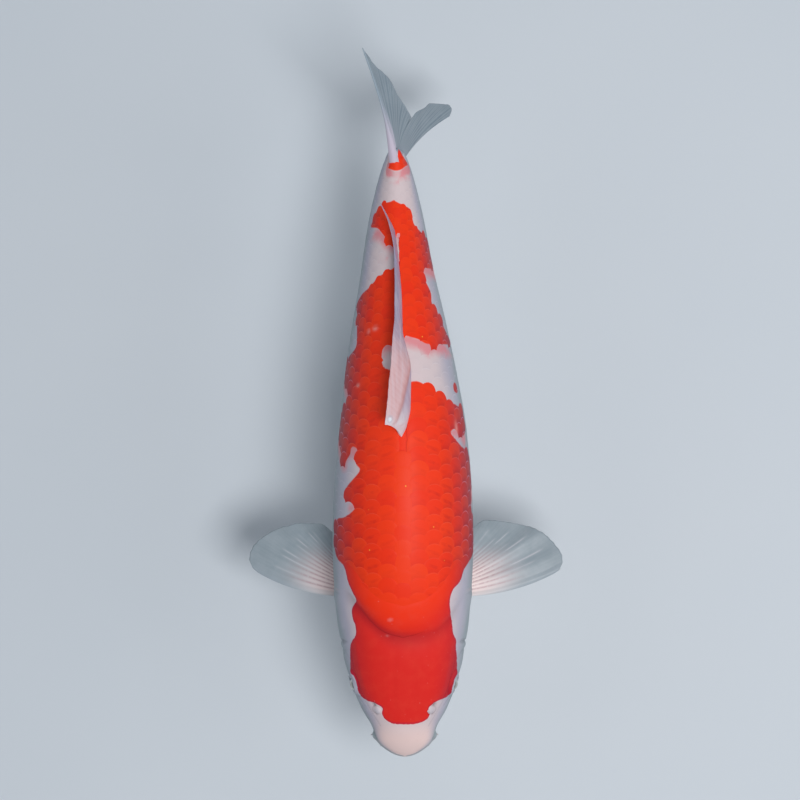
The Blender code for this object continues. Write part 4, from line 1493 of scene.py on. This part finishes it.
        # deep-set, smoother scales behind the head and at the tail
        c["young"] = (ramp(c["at"] - form.head_edge(c["angle"]), 4, 42)
                      * (1 - 0.5 * ramp(c["at"], 530, 552)))
        u, angle = c["all_u"], c["all_angles"] = self.lay(c)
        proud = self.heights(c)
        top = form.place(u, angle, proud)
        low_rim = form.place(u[:, rim], angle[:, rim], proud[:, rim] - self.shell)
        kit = MeshKit()
        kit.add(form.metres(np.concatenate([top, low_rim], axis=1)), self.figures(c))
        k = np.arange(len(rim))
        skirt = np.stack([rim, size + k, size + (k + 1) % len(rim), np.roll(rim, -1)], axis=1)
        spots = self.spots(c)
        shift = (np.arange(n) * (size + len(rim)))[:, None, None]
        for group in (grid_faces(self.along, self.across), skirt, (size + k)[::-1][None, :]):
            faces = (group[None] + shift).reshape(-1, group.shape[1])
            kit.join(faces, spots[faces])
        name = f"scales_{flank.name.lower()}"
        LOG.info("%s: %d scales, %d triangles", name, n, kit.triangles())
        return settle(kit.build(name, finish, sharp=50), "scaled_skin")

    def spots(self, c: Figures) -> Array:
        """Return every point's place on the map, each scale in a small field of its own."""
        form, at = self.form, c["at"]
        middle = np.stack([form.arc(at, c["angle"]) / form.half_girth(at) / 2 + 0.5,
                           0.06 + 0.94 * at / form.length], axis=1)
        own = np.stack([np.append(c[key], c[key][c["rim"]]) for key in ("y", "x")], axis=1)
        return np.clip(middle[:, None, :] + own * 0.0015, 0.0005, 0.9995).reshape(-1, 2)

    def red(self, c: Figures) -> Array:
        """Return how red each point is: a scale with its middle in the red is red throughout."""
        u, angle = c["all_u"], c["all_angles"]
        whole = self.markings.depth(c["u"], c["angle"]) > 0
        through = ramp(self.markings.depth(u, angle), -2.2, 2.6)
        # but the edge runs across scales near the tail, beside the head and on the ridge
        tail = ramp(c["u"], 524, 530) >= 0.5
        lone = np.hypot((c["u"] - self.lone_spot[0]) / 10,
                        (c["angle"] - self.lone_spot[1]) / 11) < 1
        crossed = tail | lone | (c["row"] == self.RIDGE) | ~whole
        behind = u - self.form.head_edge(angle)
        beside = ramp(np.abs(angle), 34, 40) * (1 - ramp(behind, 26, 34))
        return np.where(crossed[:, None] | (beside >= 0.5), through, 1)

    def figures(self, c: Figures) -> Figures:
        """Return what the finish needs to know of every point, the lower rims' included."""
        x, y, p, young = c["x"], c["y"], c["p"], c["young"]
        u, angle, rim = c["all_u"], c["all_angles"], c["rim"]
        wide, plain = np.abs(c["angle"]), np.where(c["row"] == self.RIDGE, 0, 1)
        bow = 0.5 - (1 - np.sqrt(np.clip(1 - y * y, 0, 1))) * 0.42
        # painted shade: a crescent where each scale comes out from under the one in front of it
        shade_crescent = hill(p - bow - 0.03, 0.1) * (1 - 0.55 * np.abs(y))
        shade = (0.35 + 0.65 * young) * (0.45 + 0.55 * ramp(wide, 14, 42)) * plain
        streak = ramp(wide, 9, 16) * (1 - ramp(wide, 38, 62)) * plain
        streak = streak * (1 - 0.6 * ramp(c["u"], 300, 360))
        each = {"streak": streak * np.clip(0.75 + 0.35 * c["vary"][0], 0, 1),
                "calm": ramp(wide, 6, 34) * (0.15 + 0.85 * young),
                "tint": np.clip(c["vary"][3] * 0.5, -1, 1)}
        within = {"inner": c["inner"], "run": p, "fan": np.arctan2(y, p + 0.35),
                  "growth": np.hypot(x + 1, y) * 6}
        edge = self.form.head_edge(c["angle"])[:, None]
        out = {**self.markings.colouring(u, angle), "red": self.red(c),
               "head": 1 - ramp(u - edge, -9, 26), "across": y * c["side"][:, None],
               "shade": shade_crescent * shade[:, None],
               **{key: np.broadcast_to(v[:, None], u.shape) for key, v in each.items()},
               **{key: np.broadcast_to(v, u.shape) for key, v in within.items()}}
        return {key: np.concatenate([v, v[:, rim]], axis=1) for key, v in out.items()}


# -------- the fins
@dataclass
class Fin:
    """A fan of bony rays in a thin web: root, tips and bow run along it from 0 to 1."""

    name: str
    node: str
    root: PathKnots
    tips: PathKnots
    bow: PathKnots
    thickness: float  # at its root
    rays: int
    columns: int
    rows: int
    finish: FinFinish
    flesh_reach: float = 0.1  # how far the fleshy root runs along a ray
    flesh_swell: float = 2.2
    root_reach: float = 0.35  # how far its warm colour runs
    spine: float = 0.8  # how much stouter the leading ray is
    ripple: float = 0.5
    relief: float = 0.08  # how far a ray stands out of the web
    plain_margin: float = 0.0  # how far the rays sink into the outer web
    sweep: float = 0.0  # how far along the fan the drawn rays lean from root to tip
    band: bool = False  # a broad pale band along the leading rays
    stout_root: float = 0.0  # how much thicker the leading rays' bundle starts
    pink_run: tuple[float, float] = (0.9, 1.4)  # where along the fan the root's colour fades
    fold: Knots | None = None  # a crease in the sheet: its place on a ray along the fan
    seed: int = 3

    def sheet(self, t: Array, s: Array) -> Array:
        """Return the places (x, u, z) of the fan's middle sheet."""
        start, end = SmoothPath(self.root)(t), SmoothPath(self.tips)(t)
        knee = (start + end) / 2 + SmoothPath(self.bow)(t)
        s = s[..., None]
        return start * (1 - s) ** 2 + knee * 2 * s * (1 - s) + end * s ** 2

    def ray_height(self, t: Array, s: Array) -> Array:
        """Return how close each point is to a ray's line, rays forking twice on the way out."""
        phase = (t - self.sweep * s) * self.rays
        number = np.floor(phase)
        cell = phase - number - 0.5
        stagger = 0.06 * np.sin(number * 2.4 + self.seed)
        first = 0.235 * ramp(s, 0.3 + stagger, 1.02)
        second = 0.115 * ramp(s, 0.62 + stagger, 1.06)
        gap = np.full(np.shape(t), 9)
        for one in (-1, 1):
            for two in (-1, 1):
                gap = np.minimum(gap, np.abs(cell - one * first - two * second))
        return hill(gap, 0.27 - 0.19 * ramp(s, 0.15, 0.95))

    def reach(self, t: Array, s: Array, waves: Array) -> Array:
        """Return how far along its ray each point lies, the outer margin slightly uneven."""
        margin = 0.002 * (1 + np.cos(t * self.rays * math.tau)) \
            + 0.0015 * (1 + np.sin(t * 31 + waves[0])) + 0.001 * (1 + np.sin(t * 57 + waves[1]))
        return s * (1 - margin * ramp(s, 0.5, 1))

    def crease(self, t: Array, reach: Array) -> tuple[Array, Array]:
        """Return the fold in the sheet and the part that lies below it."""
        if not self.fold:
            return np.zeros(t.shape), np.zeros(t.shape)
        past = reach - SmoothCurve(self.fold)(t)
        shown = 1 - ramp(t, 0.3, 0.42)
        return (hill(past, 0.045) * shown * ramp(t, 0, 0.03),
                (1 - ramp(past, -0.04, 0.03)) * shown)

    def lead(self, t: Array, reach: Array) -> Array:
        """Return how much of the leading ray, or of its pale band, shows."""
        if not self.band:
            return hill(t * self.rays, 1) * min(self.spine, 1)
        edge = np.maximum(0.66 - 0.7 * reach, 0.07)
        return 1 - ramp(t, edge - 0.05, edge + 0.06)

    def half_thickness(self, t: Array, reach: Array, ray: Array, plain: Array) -> Array:
        """Return half the shell's thickness.

        Args:
            t: place along the fan.
            reach: place along the ray.
            ray: how close a ray is.
            plain: how far the rays sink into the web.
        """
        body = 0.24 + (self.thickness / 2 - 0.24) * (1 - reach) ** 3 * 0.8
        half = body + ray * self.relief * (1 - 0.4 * reach) * (1 - 0.9 * plain)
        half += self.flesh_swell * (1 - ramp(reach, 0, self.flesh_reach)) ** 1.5 * 0.6
        half += hill(t * self.rays, 1) * self.spine * (1 - 0.6 * reach)
        half += self.stout_root * (1 - ramp(t, 0.1, 0.5)) * (1 - ramp(reach, 0.06, 0.5))
        return half * (1 - 0.45 * ramp(reach, 0.93, 1))

    def glint(self, t: Array, reach: Array, phase: Array) -> Array:
        """Return the short bright lines in the outer web, one to a ray, no two alike."""
        number = np.floor(phase)
        start = 0.5 + 0.12 * np.sin(number * 2.3 + self.seed)
        end = 0.84 + 0.08 * np.sin(number * 4.1 + self.seed)
        bright = 0.5 + 0.5 * np.sin(number * 1.9 + 0.7 * self.seed)
        shown = hill(phase - number - 0.5, 0.11) * ramp(reach, start, start + 0.08)
        shown *= bright * (1 - ramp(reach, end - 0.1, end)) * self.plain_margin
        return shown * ramp(t, 0.08, 0.16) * (1 - ramp(t, 0.8, 0.92))

    def build(self, form: FishForm) -> Piece:
        """Make the fin as a closed shell."""
        waves = np.random.default_rng(self.seed).uniform(0, math.tau, 6)
        t, s = np.meshgrid(np.linspace(0, 1, self.columns), np.linspace(0, 1, self.rows) ** 0.93,
                           indexing="ij")
        reach = self.reach(t, s, waves)
        middle = self.sheet(t, reach)
        along = lengths_along(middle)
        normal = unit(np.cross(np.gradient(middle, axis=0), np.gradient(middle, axis=1)))
        ray, lead = self.ray_height(t, reach), self.lead(t, reach)
        fold, under = self.crease(t, reach)
        plain = self.plain_margin * ramp(reach, 0.3, 0.62)
        wave = np.sin(t * self.rays * 1.7 + waves[2]) * 0.6 + np.sin(t * 17 + waves[3] + 3 * s)
        sway = self.ripple * wave * reach ** 2 * (1 - lead)
        middle = middle + normal * (sway + 1.2 * fold)[..., None]
        half = normal * self.half_thickness(t, reach, ray, plain)[..., None]
        phase = (t - self.sweep * reach) * self.rays
        vein = hill(phase - np.round(phase), 0.15) * (1 - ramp(reach, 0.3, 0.72))
        vein *= ramp(t, 0.05, 0.12) * ramp(reach, 0.02, 0.16)
        warm = 1 - ramp(reach, self.root_reach * 0.25, self.root_reach)
        figures = {"ray": np.clip(ray, 0, 1) * (1 - 0.85 * plain), "along": along,
                   "glint": self.glint(t, reach, phase),
                   "flesh": (1 - ramp(reach, 0, self.flesh_reach)) ** 0.8,
                   "root": warm * (1 - ramp(t, *self.pink_run)), "vein": vein,
                   "thin": ramp(reach, 0.35, 0.95) * (1 - lead), "lead": lead,
                   "fold": fold, "under": under, "fan_run": t,
                   # spot: a painted highlight, the wet glint at the back fin's front corner, with
                   # a darker ring
                   "spot": hill(np.hypot((t - 0.035) / 0.022, (reach - 0.91) / 0.055), 1),
                   "red": self.red_root(middle),
                   "side": np.full(t.shape, 0.5), "belly": np.zeros(t.shape)}
        kit = MeshKit()
        kit.add(form.metres(np.stack([middle + half, middle - half])),
                {k: np.tile(v.ravel(), 2) for k, v in figures.items()})
        n, faces = t.size, grid_faces(self.columns, self.rows)
        rim = grid_rim(self.columns, self.rows)
        after = np.roll(rim, -1)
        for group in (faces[:, ::-1], faces + n, np.stack([rim, after, after + n, rim + n], 1)):
            kit.join(group)
        LOG.info("%s: %d triangles", self.name, kit.triangles())
        return settle(kit.build(self.name, self.finish.material()), "fin", self.node)

    def red_root(self, middle: Array) -> Array:
        """Return how far the body's red runs up on to the fin; only the tail's does."""
        if not self.node.startswith("caudal"):
            return np.full(middle.shape[:-1], -9.0)
        away = np.hypot((middle[..., 1] - 535) / 7, (middle[..., 2] - 33) / 9)
        return (1 - away) * 6


def mirrored(knots: PathKnots, side: int) -> PathKnots:
    """Return a paired fin's knots for the fish's left (1) or right (-1) side."""
    return tuple((t, (side * x, u, z)) for t, (x, u, z) in knots)


@dataclass
class FinSet:
    """All the fins."""

    pectoral_root: PathKnots = ((0, (40, 145, -42)), (1, (43, 168, -46)))
    pectoral_bow: PathKnots = ((0, (5, -14, 0)), (0.3, (3, -6, 3)), (1, (3, 0, 3)))
    left_tips: PathKnots = (
        (0, (142.5, 166, -55)), (0.05, (147.4, 170.2, -55)), (0.11, (149.8, 177, -56)),
        (0.18, (148, 184.5, -56)), (0.28, (141.5, 194, -57)), (0.4, (131, 203, -57)),
        (0.53, (119, 209, -58)), (0.75, (98, 213, -59)), (0.92, (77, 215, -58)),
        (1, (66, 209, -56)))
    right_tips: PathKnots = (
        (0, (135, 166.5, -55)), (0.05, (140.6, 172, -55)), (0.12, (143.3, 180.5, -56)),
        (0.2, (140.4, 189.5, -56)), (0.3, (133, 197.3, -57)), (0.42, (122, 204.4, -57)),
        (0.55, (109.5, 209.5, -58)), (0.75, (93, 212, -59)), (0.92, (76, 211.5, -58)),
        (1, (65, 204, -56)))
    pelvic_root: PathKnots = ((0, (19, 288, -62)), (1, (15, 306, -60)))
    pelvic_tips: PathKnots = ((0, (44, 346, -99)), (0.2, (43, 355, -98)), (0.5, (33, 359, -94)),
                              (0.8, (20, 352, -89)), (1, (13, 342, -84)))
    pelvic_bow: PathKnots = ((0, (2, -6, -3)), (1, (0, 0, -2)))

    def fins(self) -> list[Fin]:
        """Return every fin."""
        paired = FinFinish("pectoral_web", web=(0.31, 0.375, 0.42), ray=(0.42, 0.48, 0.53),
                           root=(0.9, 0.72, 0.7), vein=(0.4, 0.13, 0.18))
        pelvic = FinFinish("pelvic_web")
        tail = FinFinish("tail_web", web=(0.19, 0.25, 0.3), ray=(0.29, 0.35, 0.4),
                         root=(0.34, 0.36, 0.44), vein=(0.2, 0.21, 0.26),
                         lead=(0.68, 0.6, 0.72), lead_tip=(0.34, 0.42, 0.5), clear=0.06,
                         flesh=0.15)
        keel = FinFinish("anal_web")
        fins = [Fin(
            "dorsal_sail", "dorsal_fin",
            ((0, (-1.2, 289.5, 66)), (0.3, (-2, 346, 62)), (0.7, (-4, 421, 48)),
             (1, (-5.8, 474, 38))),
            ((0, (-15.5, 305, 106)), (0.12, (-14, 325, 105)), (0.3, (-10.5, 362, 100)),
             (0.5, (-7.5, 402, 88)), (0.75, (-7, 452, 70)), (0.9, (-12.5, 485, 61)),
             (1, (-20.5, 504, 57))),
            ((0, (5, 7, 1)), (0.06, (20, -1, 0)), (0.15, (27, -3, 0)), (0.3, (26, -3, 0)),
             (0.4, (18, -3, 0)), (0.5, (9, -3, 0)), (0.65, (8, -3, 0)), (0.8, (5, -3, 1)),
             (1, (4, -4, 4))),
            4, 21, 300, 48, SailFinish("dorsal_web", clear=0.04), flesh_reach=0.05,
            flesh_swell=0.6, spine=1, ripple=0.3, relief=0.08, sweep=0.16,
            fold=((0, 0.8), (0.1, 0.78), (0.2, 0.72), (0.3, 0.6), (0.42, 0.46)), seed=5)]
        fins.append(Fin(
            "anal_sail", "anal_fin", ((0, (-4.2, 424, -44)), (1, (-5.6, 466, -32))),
            ((0, (-7, 463, -108)), (0.35, (-8, 474, -97)), (0.7, (-7, 482, -82)),
             (1, (-6, 490, -66))), ((0, (0, -3, -2)), (1, (0, 0, 0))),
            4, 8, 110, 44, keel, flesh_reach=0.2, spine=0.9, seed=6))
        fins.append(Fin(
            "tail_fan_upper", "caudal_fin_upper", ((0, (-7, 538, 33)), (1, (-6.2, 548, 2.6))),
            ((0, (-36, 640, 92)), (0.25, (-28.5, 630, 78)), (0.5, (-13.5, 617, 55)),
             (0.75, (-3, 602, 28)), (1, (8.1, 586.4, -5.4))),
            ((0, (8, -7, 5)), (0.5, (2, 0, 0)), (1, (-4, 1, 1))),
            5, 11, 220, 84, tail, flesh_reach=0.06, flesh_swell=1, spine=0.7,
            band=True, stout_root=1.8, seed=7))
        fins.append(Fin(
            "tail_fan_lower", "caudal_fin_lower",
            ((0, (-6.2, 548, 2.8)), (1, (-6.2, 538, -27))),
            ((0, (8.1, 586.4, -5.1)), (0.25, (17, 595, -27)), (0.5, (26, 602.5, -48)),
             (0.7, (35, 604.5, -68)), (0.84, (42.5, 605, -82)), (0.93, (46.8, 601.5, -88)),
             (1, (45, 595, -90))),
            ((0, (-4, 1, 1)), (0.5, (-6, 0, 2)), (1, (-9.5, 5.5, -6))),
            5, 11, 220, 70, tail, flesh_reach=0.06, flesh_swell=1, spine=0, seed=8))
        for side, word, tips in ((1, "left", self.left_tips), (-1, "right", self.right_tips)):
            fins.append(Fin(
                f"pectoral_fan_{word}", f"pectoral_fin_{word}",
                mirrored(self.pectoral_root, side), mirrored(tips, side),
                mirrored(self.pectoral_bow, side), 5, 16, 288, 66, paired,
                flesh_reach=0.1, root_reach=0.76, spine=0.7, ripple=0.8, pink_run=(0.42, 0.95),
                plain_margin=1, relief=0.1, seed=9 + side))
            fins.append(Fin(
                f"pelvic_fan_{word}", f"pelvic_fin_{word}", mirrored(self.pelvic_root, side),
                mirrored(self.pelvic_tips, side), mirrored(self.pelvic_bow, side),
                4, 9, 130, 44, pelvic, flesh_reach=0.18, seed=20 + side))
        return fins


# -------- the eyes
@dataclass
class Eye:
    """One eyeball: a ball with a low bulge over pupil and iris, under a glossy clear coat."""

    relief: HeadRelief
    side: int
    bulge: float = 0.45
    rings: int = 60
    around: int = 96

    def build(self, form: FishForm, material: Material) -> Piece:
        """Make the eyeball, looking the way its socket does."""
        centre, aim = self.relief.eye_frame(self.side)
        over = unit(np.cross(np.array([0, 0, 1]), aim))
        up = np.cross(aim, over)
        polar = np.linspace(0, math.pi, self.rings + 1)[1:-1]
        turn = np.linspace(0, math.tau, self.around, endpoint=False)
        p, q = (v[..., None] for v in np.meshgrid(polar, turn, indexing="ij"))
        radius = self.relief.eye_radius - 0.55 + self.bulge * (1 - ramp(np.degrees(p), 20, 60))
        level = np.sin(p) * (np.cos(q) * over + np.sin(q) * up)
        rows = centre + radius * (np.cos(p) * aim + level)
        poles = np.stack([centre + aim * radius[0, 0], centre - aim * radius[-1, 0]])
        count = rows[..., 0].size
        last, k = count - self.around, np.arange(self.around)
        kit = MeshKit()
        kit.add(form.metres(np.concatenate([rows.reshape(-1, 3), poles])),
                {"polar": np.concatenate([np.degrees(p).ravel(), [0, 180]]),
                 "up": np.concatenate([level[..., 2].ravel(), [0, 0]])})
        kit.join(np.stack([0 * k + count, k, (k + 1) % self.around], axis=1))
        kit.join(np.stack([0 * k + count + 1, last + (k + 1) % self.around, last + k], axis=1))
        kit.join(grid_faces(len(polar), self.around, wrap=True)[:, ::-1])
        word = "left" if self.side > 0 else "right"
        return settle(kit.build(f"eyeball_{word}", material), "eye", f"eye_{word}")


# -------- the stand
@dataclass(frozen=True)
class BaseFinish:
    """The base: satin pale grey lacquer, faintly flecked."""

    dark: Colour = (0.6, 0.61, 0.61)
    light: Colour = (0.68, 0.69, 0.69)
    fleck: Colour = (0.38, 0.4, 0.42)

    def material(self) -> Material:
        """Return the lacquer."""
        p = Palette("base_lacquer")
        cloud, grain = p.noise(40), p.noise(0.7, 2)
        colour = p.mix((cloud - 0.3).rise(0, 0.4), self.dark, self.light)
        colour = p.mix((grain - 0.6).rise(0, 0.12) * 0.35, colour, self.fleck)
        return p.dress(Base_Color=colour, Roughness=0.42 + 0.12 * (cloud - 0.5),
                       Normal=p.relief(grain, 0.05, 0.4), Coat_Weight=0.2, Coat_Roughness=0.25)


@dataclass(frozen=True)
class RodFinish:
    """The rods and their collars: steel, brushed round."""

    dark: Colour = (0.5, 0.51, 0.53)
    light: Colour = (0.68, 0.69, 0.7)

    def material(self) -> Material:
        """Return the brushed steel."""
        p = Palette("brushed_steel")
        brush = p.noise(0.9, 4, 0.6, p.stretched((0.25, 0.25, 3.5)))
        cloud = p.noise(12)
        colour = p.mix(brush, self.dark, self.light)
        return p.dress(Base_Color=colour, Metallic=1,
                       Roughness=0.24 + 0.16 * brush + 0.06 * (cloud - 0.5),
                       Normal=p.relief(brush, 0.03, 0.4))


@dataclass
class Stand:
    """An oval base and two rods, each with a collar at its foot."""

    around: int = 176
    rim: float = 3.0
    collar_radius: float = 8.5
    collar_height: float = 7.0

    def turned(self, kit: MeshKit, middle: tuple[float, float], scale: tuple[float, float],
               profile: list[tuple[float, float]], around: int) -> None:
        """Add a closed turned form.

        Args:
            kit: the mesh to add to.
            middle: x and y of its axis in millimetres.
            scale: the reach of the profile's 0 radius along x and y.
            profile: radius and height pairs in millimetres from the bottom up.
            around: how many points a ring has.
        """
        turn = np.linspace(0, math.tau, around, endpoint=False)
        rows = []
        for radius, height in profile:
            x = middle[0] + (scale[0] + radius) * np.cos(turn)
            y = middle[1] + (scale[1] + radius) * np.sin(turn)
            rows.append(np.stack([x, y, np.full(around, height)], axis=1))
        ring = np.arange(around)[None]
        kit.add(np.array(rows) * MM, {})
        kit.join(grid_faces(len(rows), around, wrap=True))
        kit.join(ring[:, ::-1])
        kit.join(ring + (len(rows) - 1) * around)

    def base(self) -> Piece:
        """Make the base with its rounded rim and a fine turned line inside it."""
        low, high = (np.array(corner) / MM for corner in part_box("stand_base"))
        half_x, half_y, top = (high[0] - low[0]) / 2, (high[1] - low[1]) / 2, high[2]
        r, brim = self.rim, top - self.rim
        profile = [(-half_x + 6, 1.2), (-9, 1.2), (-7.5, 0), (-1.6, 0), (-0.6, 0.3),
                   (0, 1), (0, brim - 4.6), (-0.7, brim - 4.2), (-0.7, brim - 3.4),
                   (0, brim - 3)]
        profile += [(-r * (1 - math.cos(a)), brim + r * math.sin(a))
                    for a in np.linspace(0, math.pi / 2, 9)]
        profile += [(-9, top), (-9.6, top - 0.5), (-10.6, top - 0.5), (-11.2, top),
                    (-half_x + 6, top)]
        kit = MeshKit()
        self.turned(kit, ((low[0] + high[0]) / 2, (low[1] + high[1]) / 2), (half_x, half_y),
                    profile, self.around)
        return settle(kit.build("stand_plinth", BaseFinish().material(), sharp=40),
                      "stand_base", "stand_base")

    def rod(self, node: str, name: str, finish: Material) -> Piece:
        """Make a rod up to the belly, with its collar."""
        low, high = (np.array(corner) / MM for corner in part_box(node))
        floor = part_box("stand_base")[1].z / MM
        middle = ((low[0] + high[0]) / 2, (low[1] + high[1]) / 2)
        radius = (high[0] - low[0]) / 2
        kit = MeshKit()
        top = high[2] + 1.2
        shaft = [(radius - 0.4, floor - 9), (radius, floor - 8.6), (radius, high[2] - 5),
                 (radius, top - 1), (radius - 0.3, top)]
        self.turned(kit, middle, (0, 0), shaft, 48)
        c, h = self.collar_radius, self.collar_height
        collar = [(radius + 0.1, floor - 0.4), (c - 0.4, floor - 0.4), (c, floor + 0.1),
                  (c, floor + h * 0.45), (c - 0.5, floor + h * 0.52), (c - 1.4, floor + h * 0.58),
                  (radius + 1, floor + h - 0.5), (radius + 0.5, floor + h), (radius, floor + h)]
        self.turned(kit, middle, (0, 0), collar, 64)
        return settle(kit.build(name, finish, sharp=35), "stand_rod", node)

    def build(self) -> None:
        """Make the whole stand."""
        self.base()
        steel = RodFinish().material()
        self.rod("stand_rod_front", "stand_post_front", steel)
        self.rod("stand_rod_rear", "stand_post_rear", steel)


# -------- the studio
@dataclass
class Studio:
    """A pale floor, plain soft light and a camera that looks straight down."""

    form: FishForm
    camera_height: float = 3.0
    framed_width: float = 0.7324
    centre_x: float = -0.0023
    centre_u: float = 326.8
    sensor: float = 36.0
    floor_reach: float = 6.0
    aim: Place = (0, 0.05, 0.19)  # where the lights point
    sky: tuple[float, float, float, float] = (0.8, 0.87, 0.95, 1)
    sky_strength: float = 0.26

    def floor(self) -> None:
        """Lay the floor."""
        p = Palette("studio_floor")
        cloud, grain = p.noise(400), p.noise(2, 2)
        colour = p.mix(cloud, (0.6, 0.66, 0.72), (0.66, 0.71, 0.76))
        finish = p.dress(Base_Color=colour, Roughness=0.62 + 0.1 * (cloud - 0.5),
                         Normal=p.relief(grain, 0.04, 0.3))
        kit = MeshKit()
        corners = np.array([[-1, -1, 0], [1, -1, 0], [1, 1, 0], [-1, 1, 0]])
        kit.add(corners * self.floor_reach, {})
        kit.join(np.array([[0, 1, 2, 3]]))
        kit.build("floor", finish)

    def light(self, name: str, place: Place, size: float, power: float,
              tone: Colour = (1, 1, 1)) -> None:
        """Hang one square soft light that faces the fish."""
        lamp = bpy.data.lights.new(name, "AREA")
        lamp.shape, lamp.size, lamp.energy, lamp.color = "SQUARE", size, power, tone
        piece = bpy.data.objects.new(name, lamp)
        piece.location = place
        ray = Vector(self.aim) - Vector(place)
        piece.rotation_euler = ray.to_track_quat("-Z", "Y").to_euler()
        bpy.context.scene.collection.objects.link(piece)

    def build(self) -> None:
        """Set up floor, lights, surroundings and camera."""
        scene = bpy.context.scene
        self.floor()
        self.light("key", (0.55, -0.4, 2.75), 0.9, 39, (1, 0.98, 0.97))
        self.light("fill_right", (2.2, -0.3, 1.7), 1.8, 13)
        self.light("fill_left", (-2.2, 0.3, 1.8), 2, 8, (0.88, 0.94, 1))
        self.light("rear", (0.2, 2.3, 1.6), 1.6, 6)
        world = bpy.data.worlds.new("studio")
        world.use_nodes = True
        back = world.node_tree.nodes["Background"]
        back.inputs["Color"].default_value = self.sky
        back.inputs["Strength"].default_value = self.sky_strength
        scene.world = world
        scene.view_settings.view_transform = "Standard"
        lens = bpy.data.cameras.new("camera")
        lens.sensor_width = self.sensor
        lens.lens = self.sensor * self.camera_height / self.framed_width
        lens.clip_end = 50
        eye = bpy.data.objects.new("camera", lens)
        eye.location = (self.centre_x, (self.centre_u - self.form.balance) * MM,
                        self.form.axis_height * MM + self.camera_height)
        scene.collection.objects.link(eye)
        scene.camera = eye


# -------- making
def fish_form() -> FishForm:
    """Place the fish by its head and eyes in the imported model."""
    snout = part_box("head")[0].y / MM
    eyes = [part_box(node) for node in ("eye_left", "eye_right")]
    height = sum((low.z + high.z) / 2 for low, high in eyes) / 2 / MM
    return FishForm(balance=-snout, axis_height=height - HeadRelief.eye_centre[2])


def main() -> None:
    """Build the koi, its stand and the studio."""
    logging.basicConfig(level=logging.INFO, format="%(message)s", stream=sys.stdout)
    form = fish_form()
    LOG.info("fish placed: balance %.2f mm, axis %.2f mm up", form.balance, form.axis_height)
    colours, markings = KoiColours(), Markings()
    relief = HeadRelief(form)
    Skin(form, markings, relief).build(SkinFinish(colours))
    coat = Coat(form, markings, relief)
    scale_material = ScaleFinish(colours).material()
    for flank in Flank:
        coat.build(flank, scale_material)
    for fin in FinSet().fins():
        fin.build(form)
    eye_material = EyeFinish().material()
    for side in (1, -1):
        Eye(relief, side).build(form, eye_material)
    LOG.info("eyes made")
    Stand().build()
    LOG.info("stand made")
    Studio(form).build()


if __name__ == "__main__":
    main()
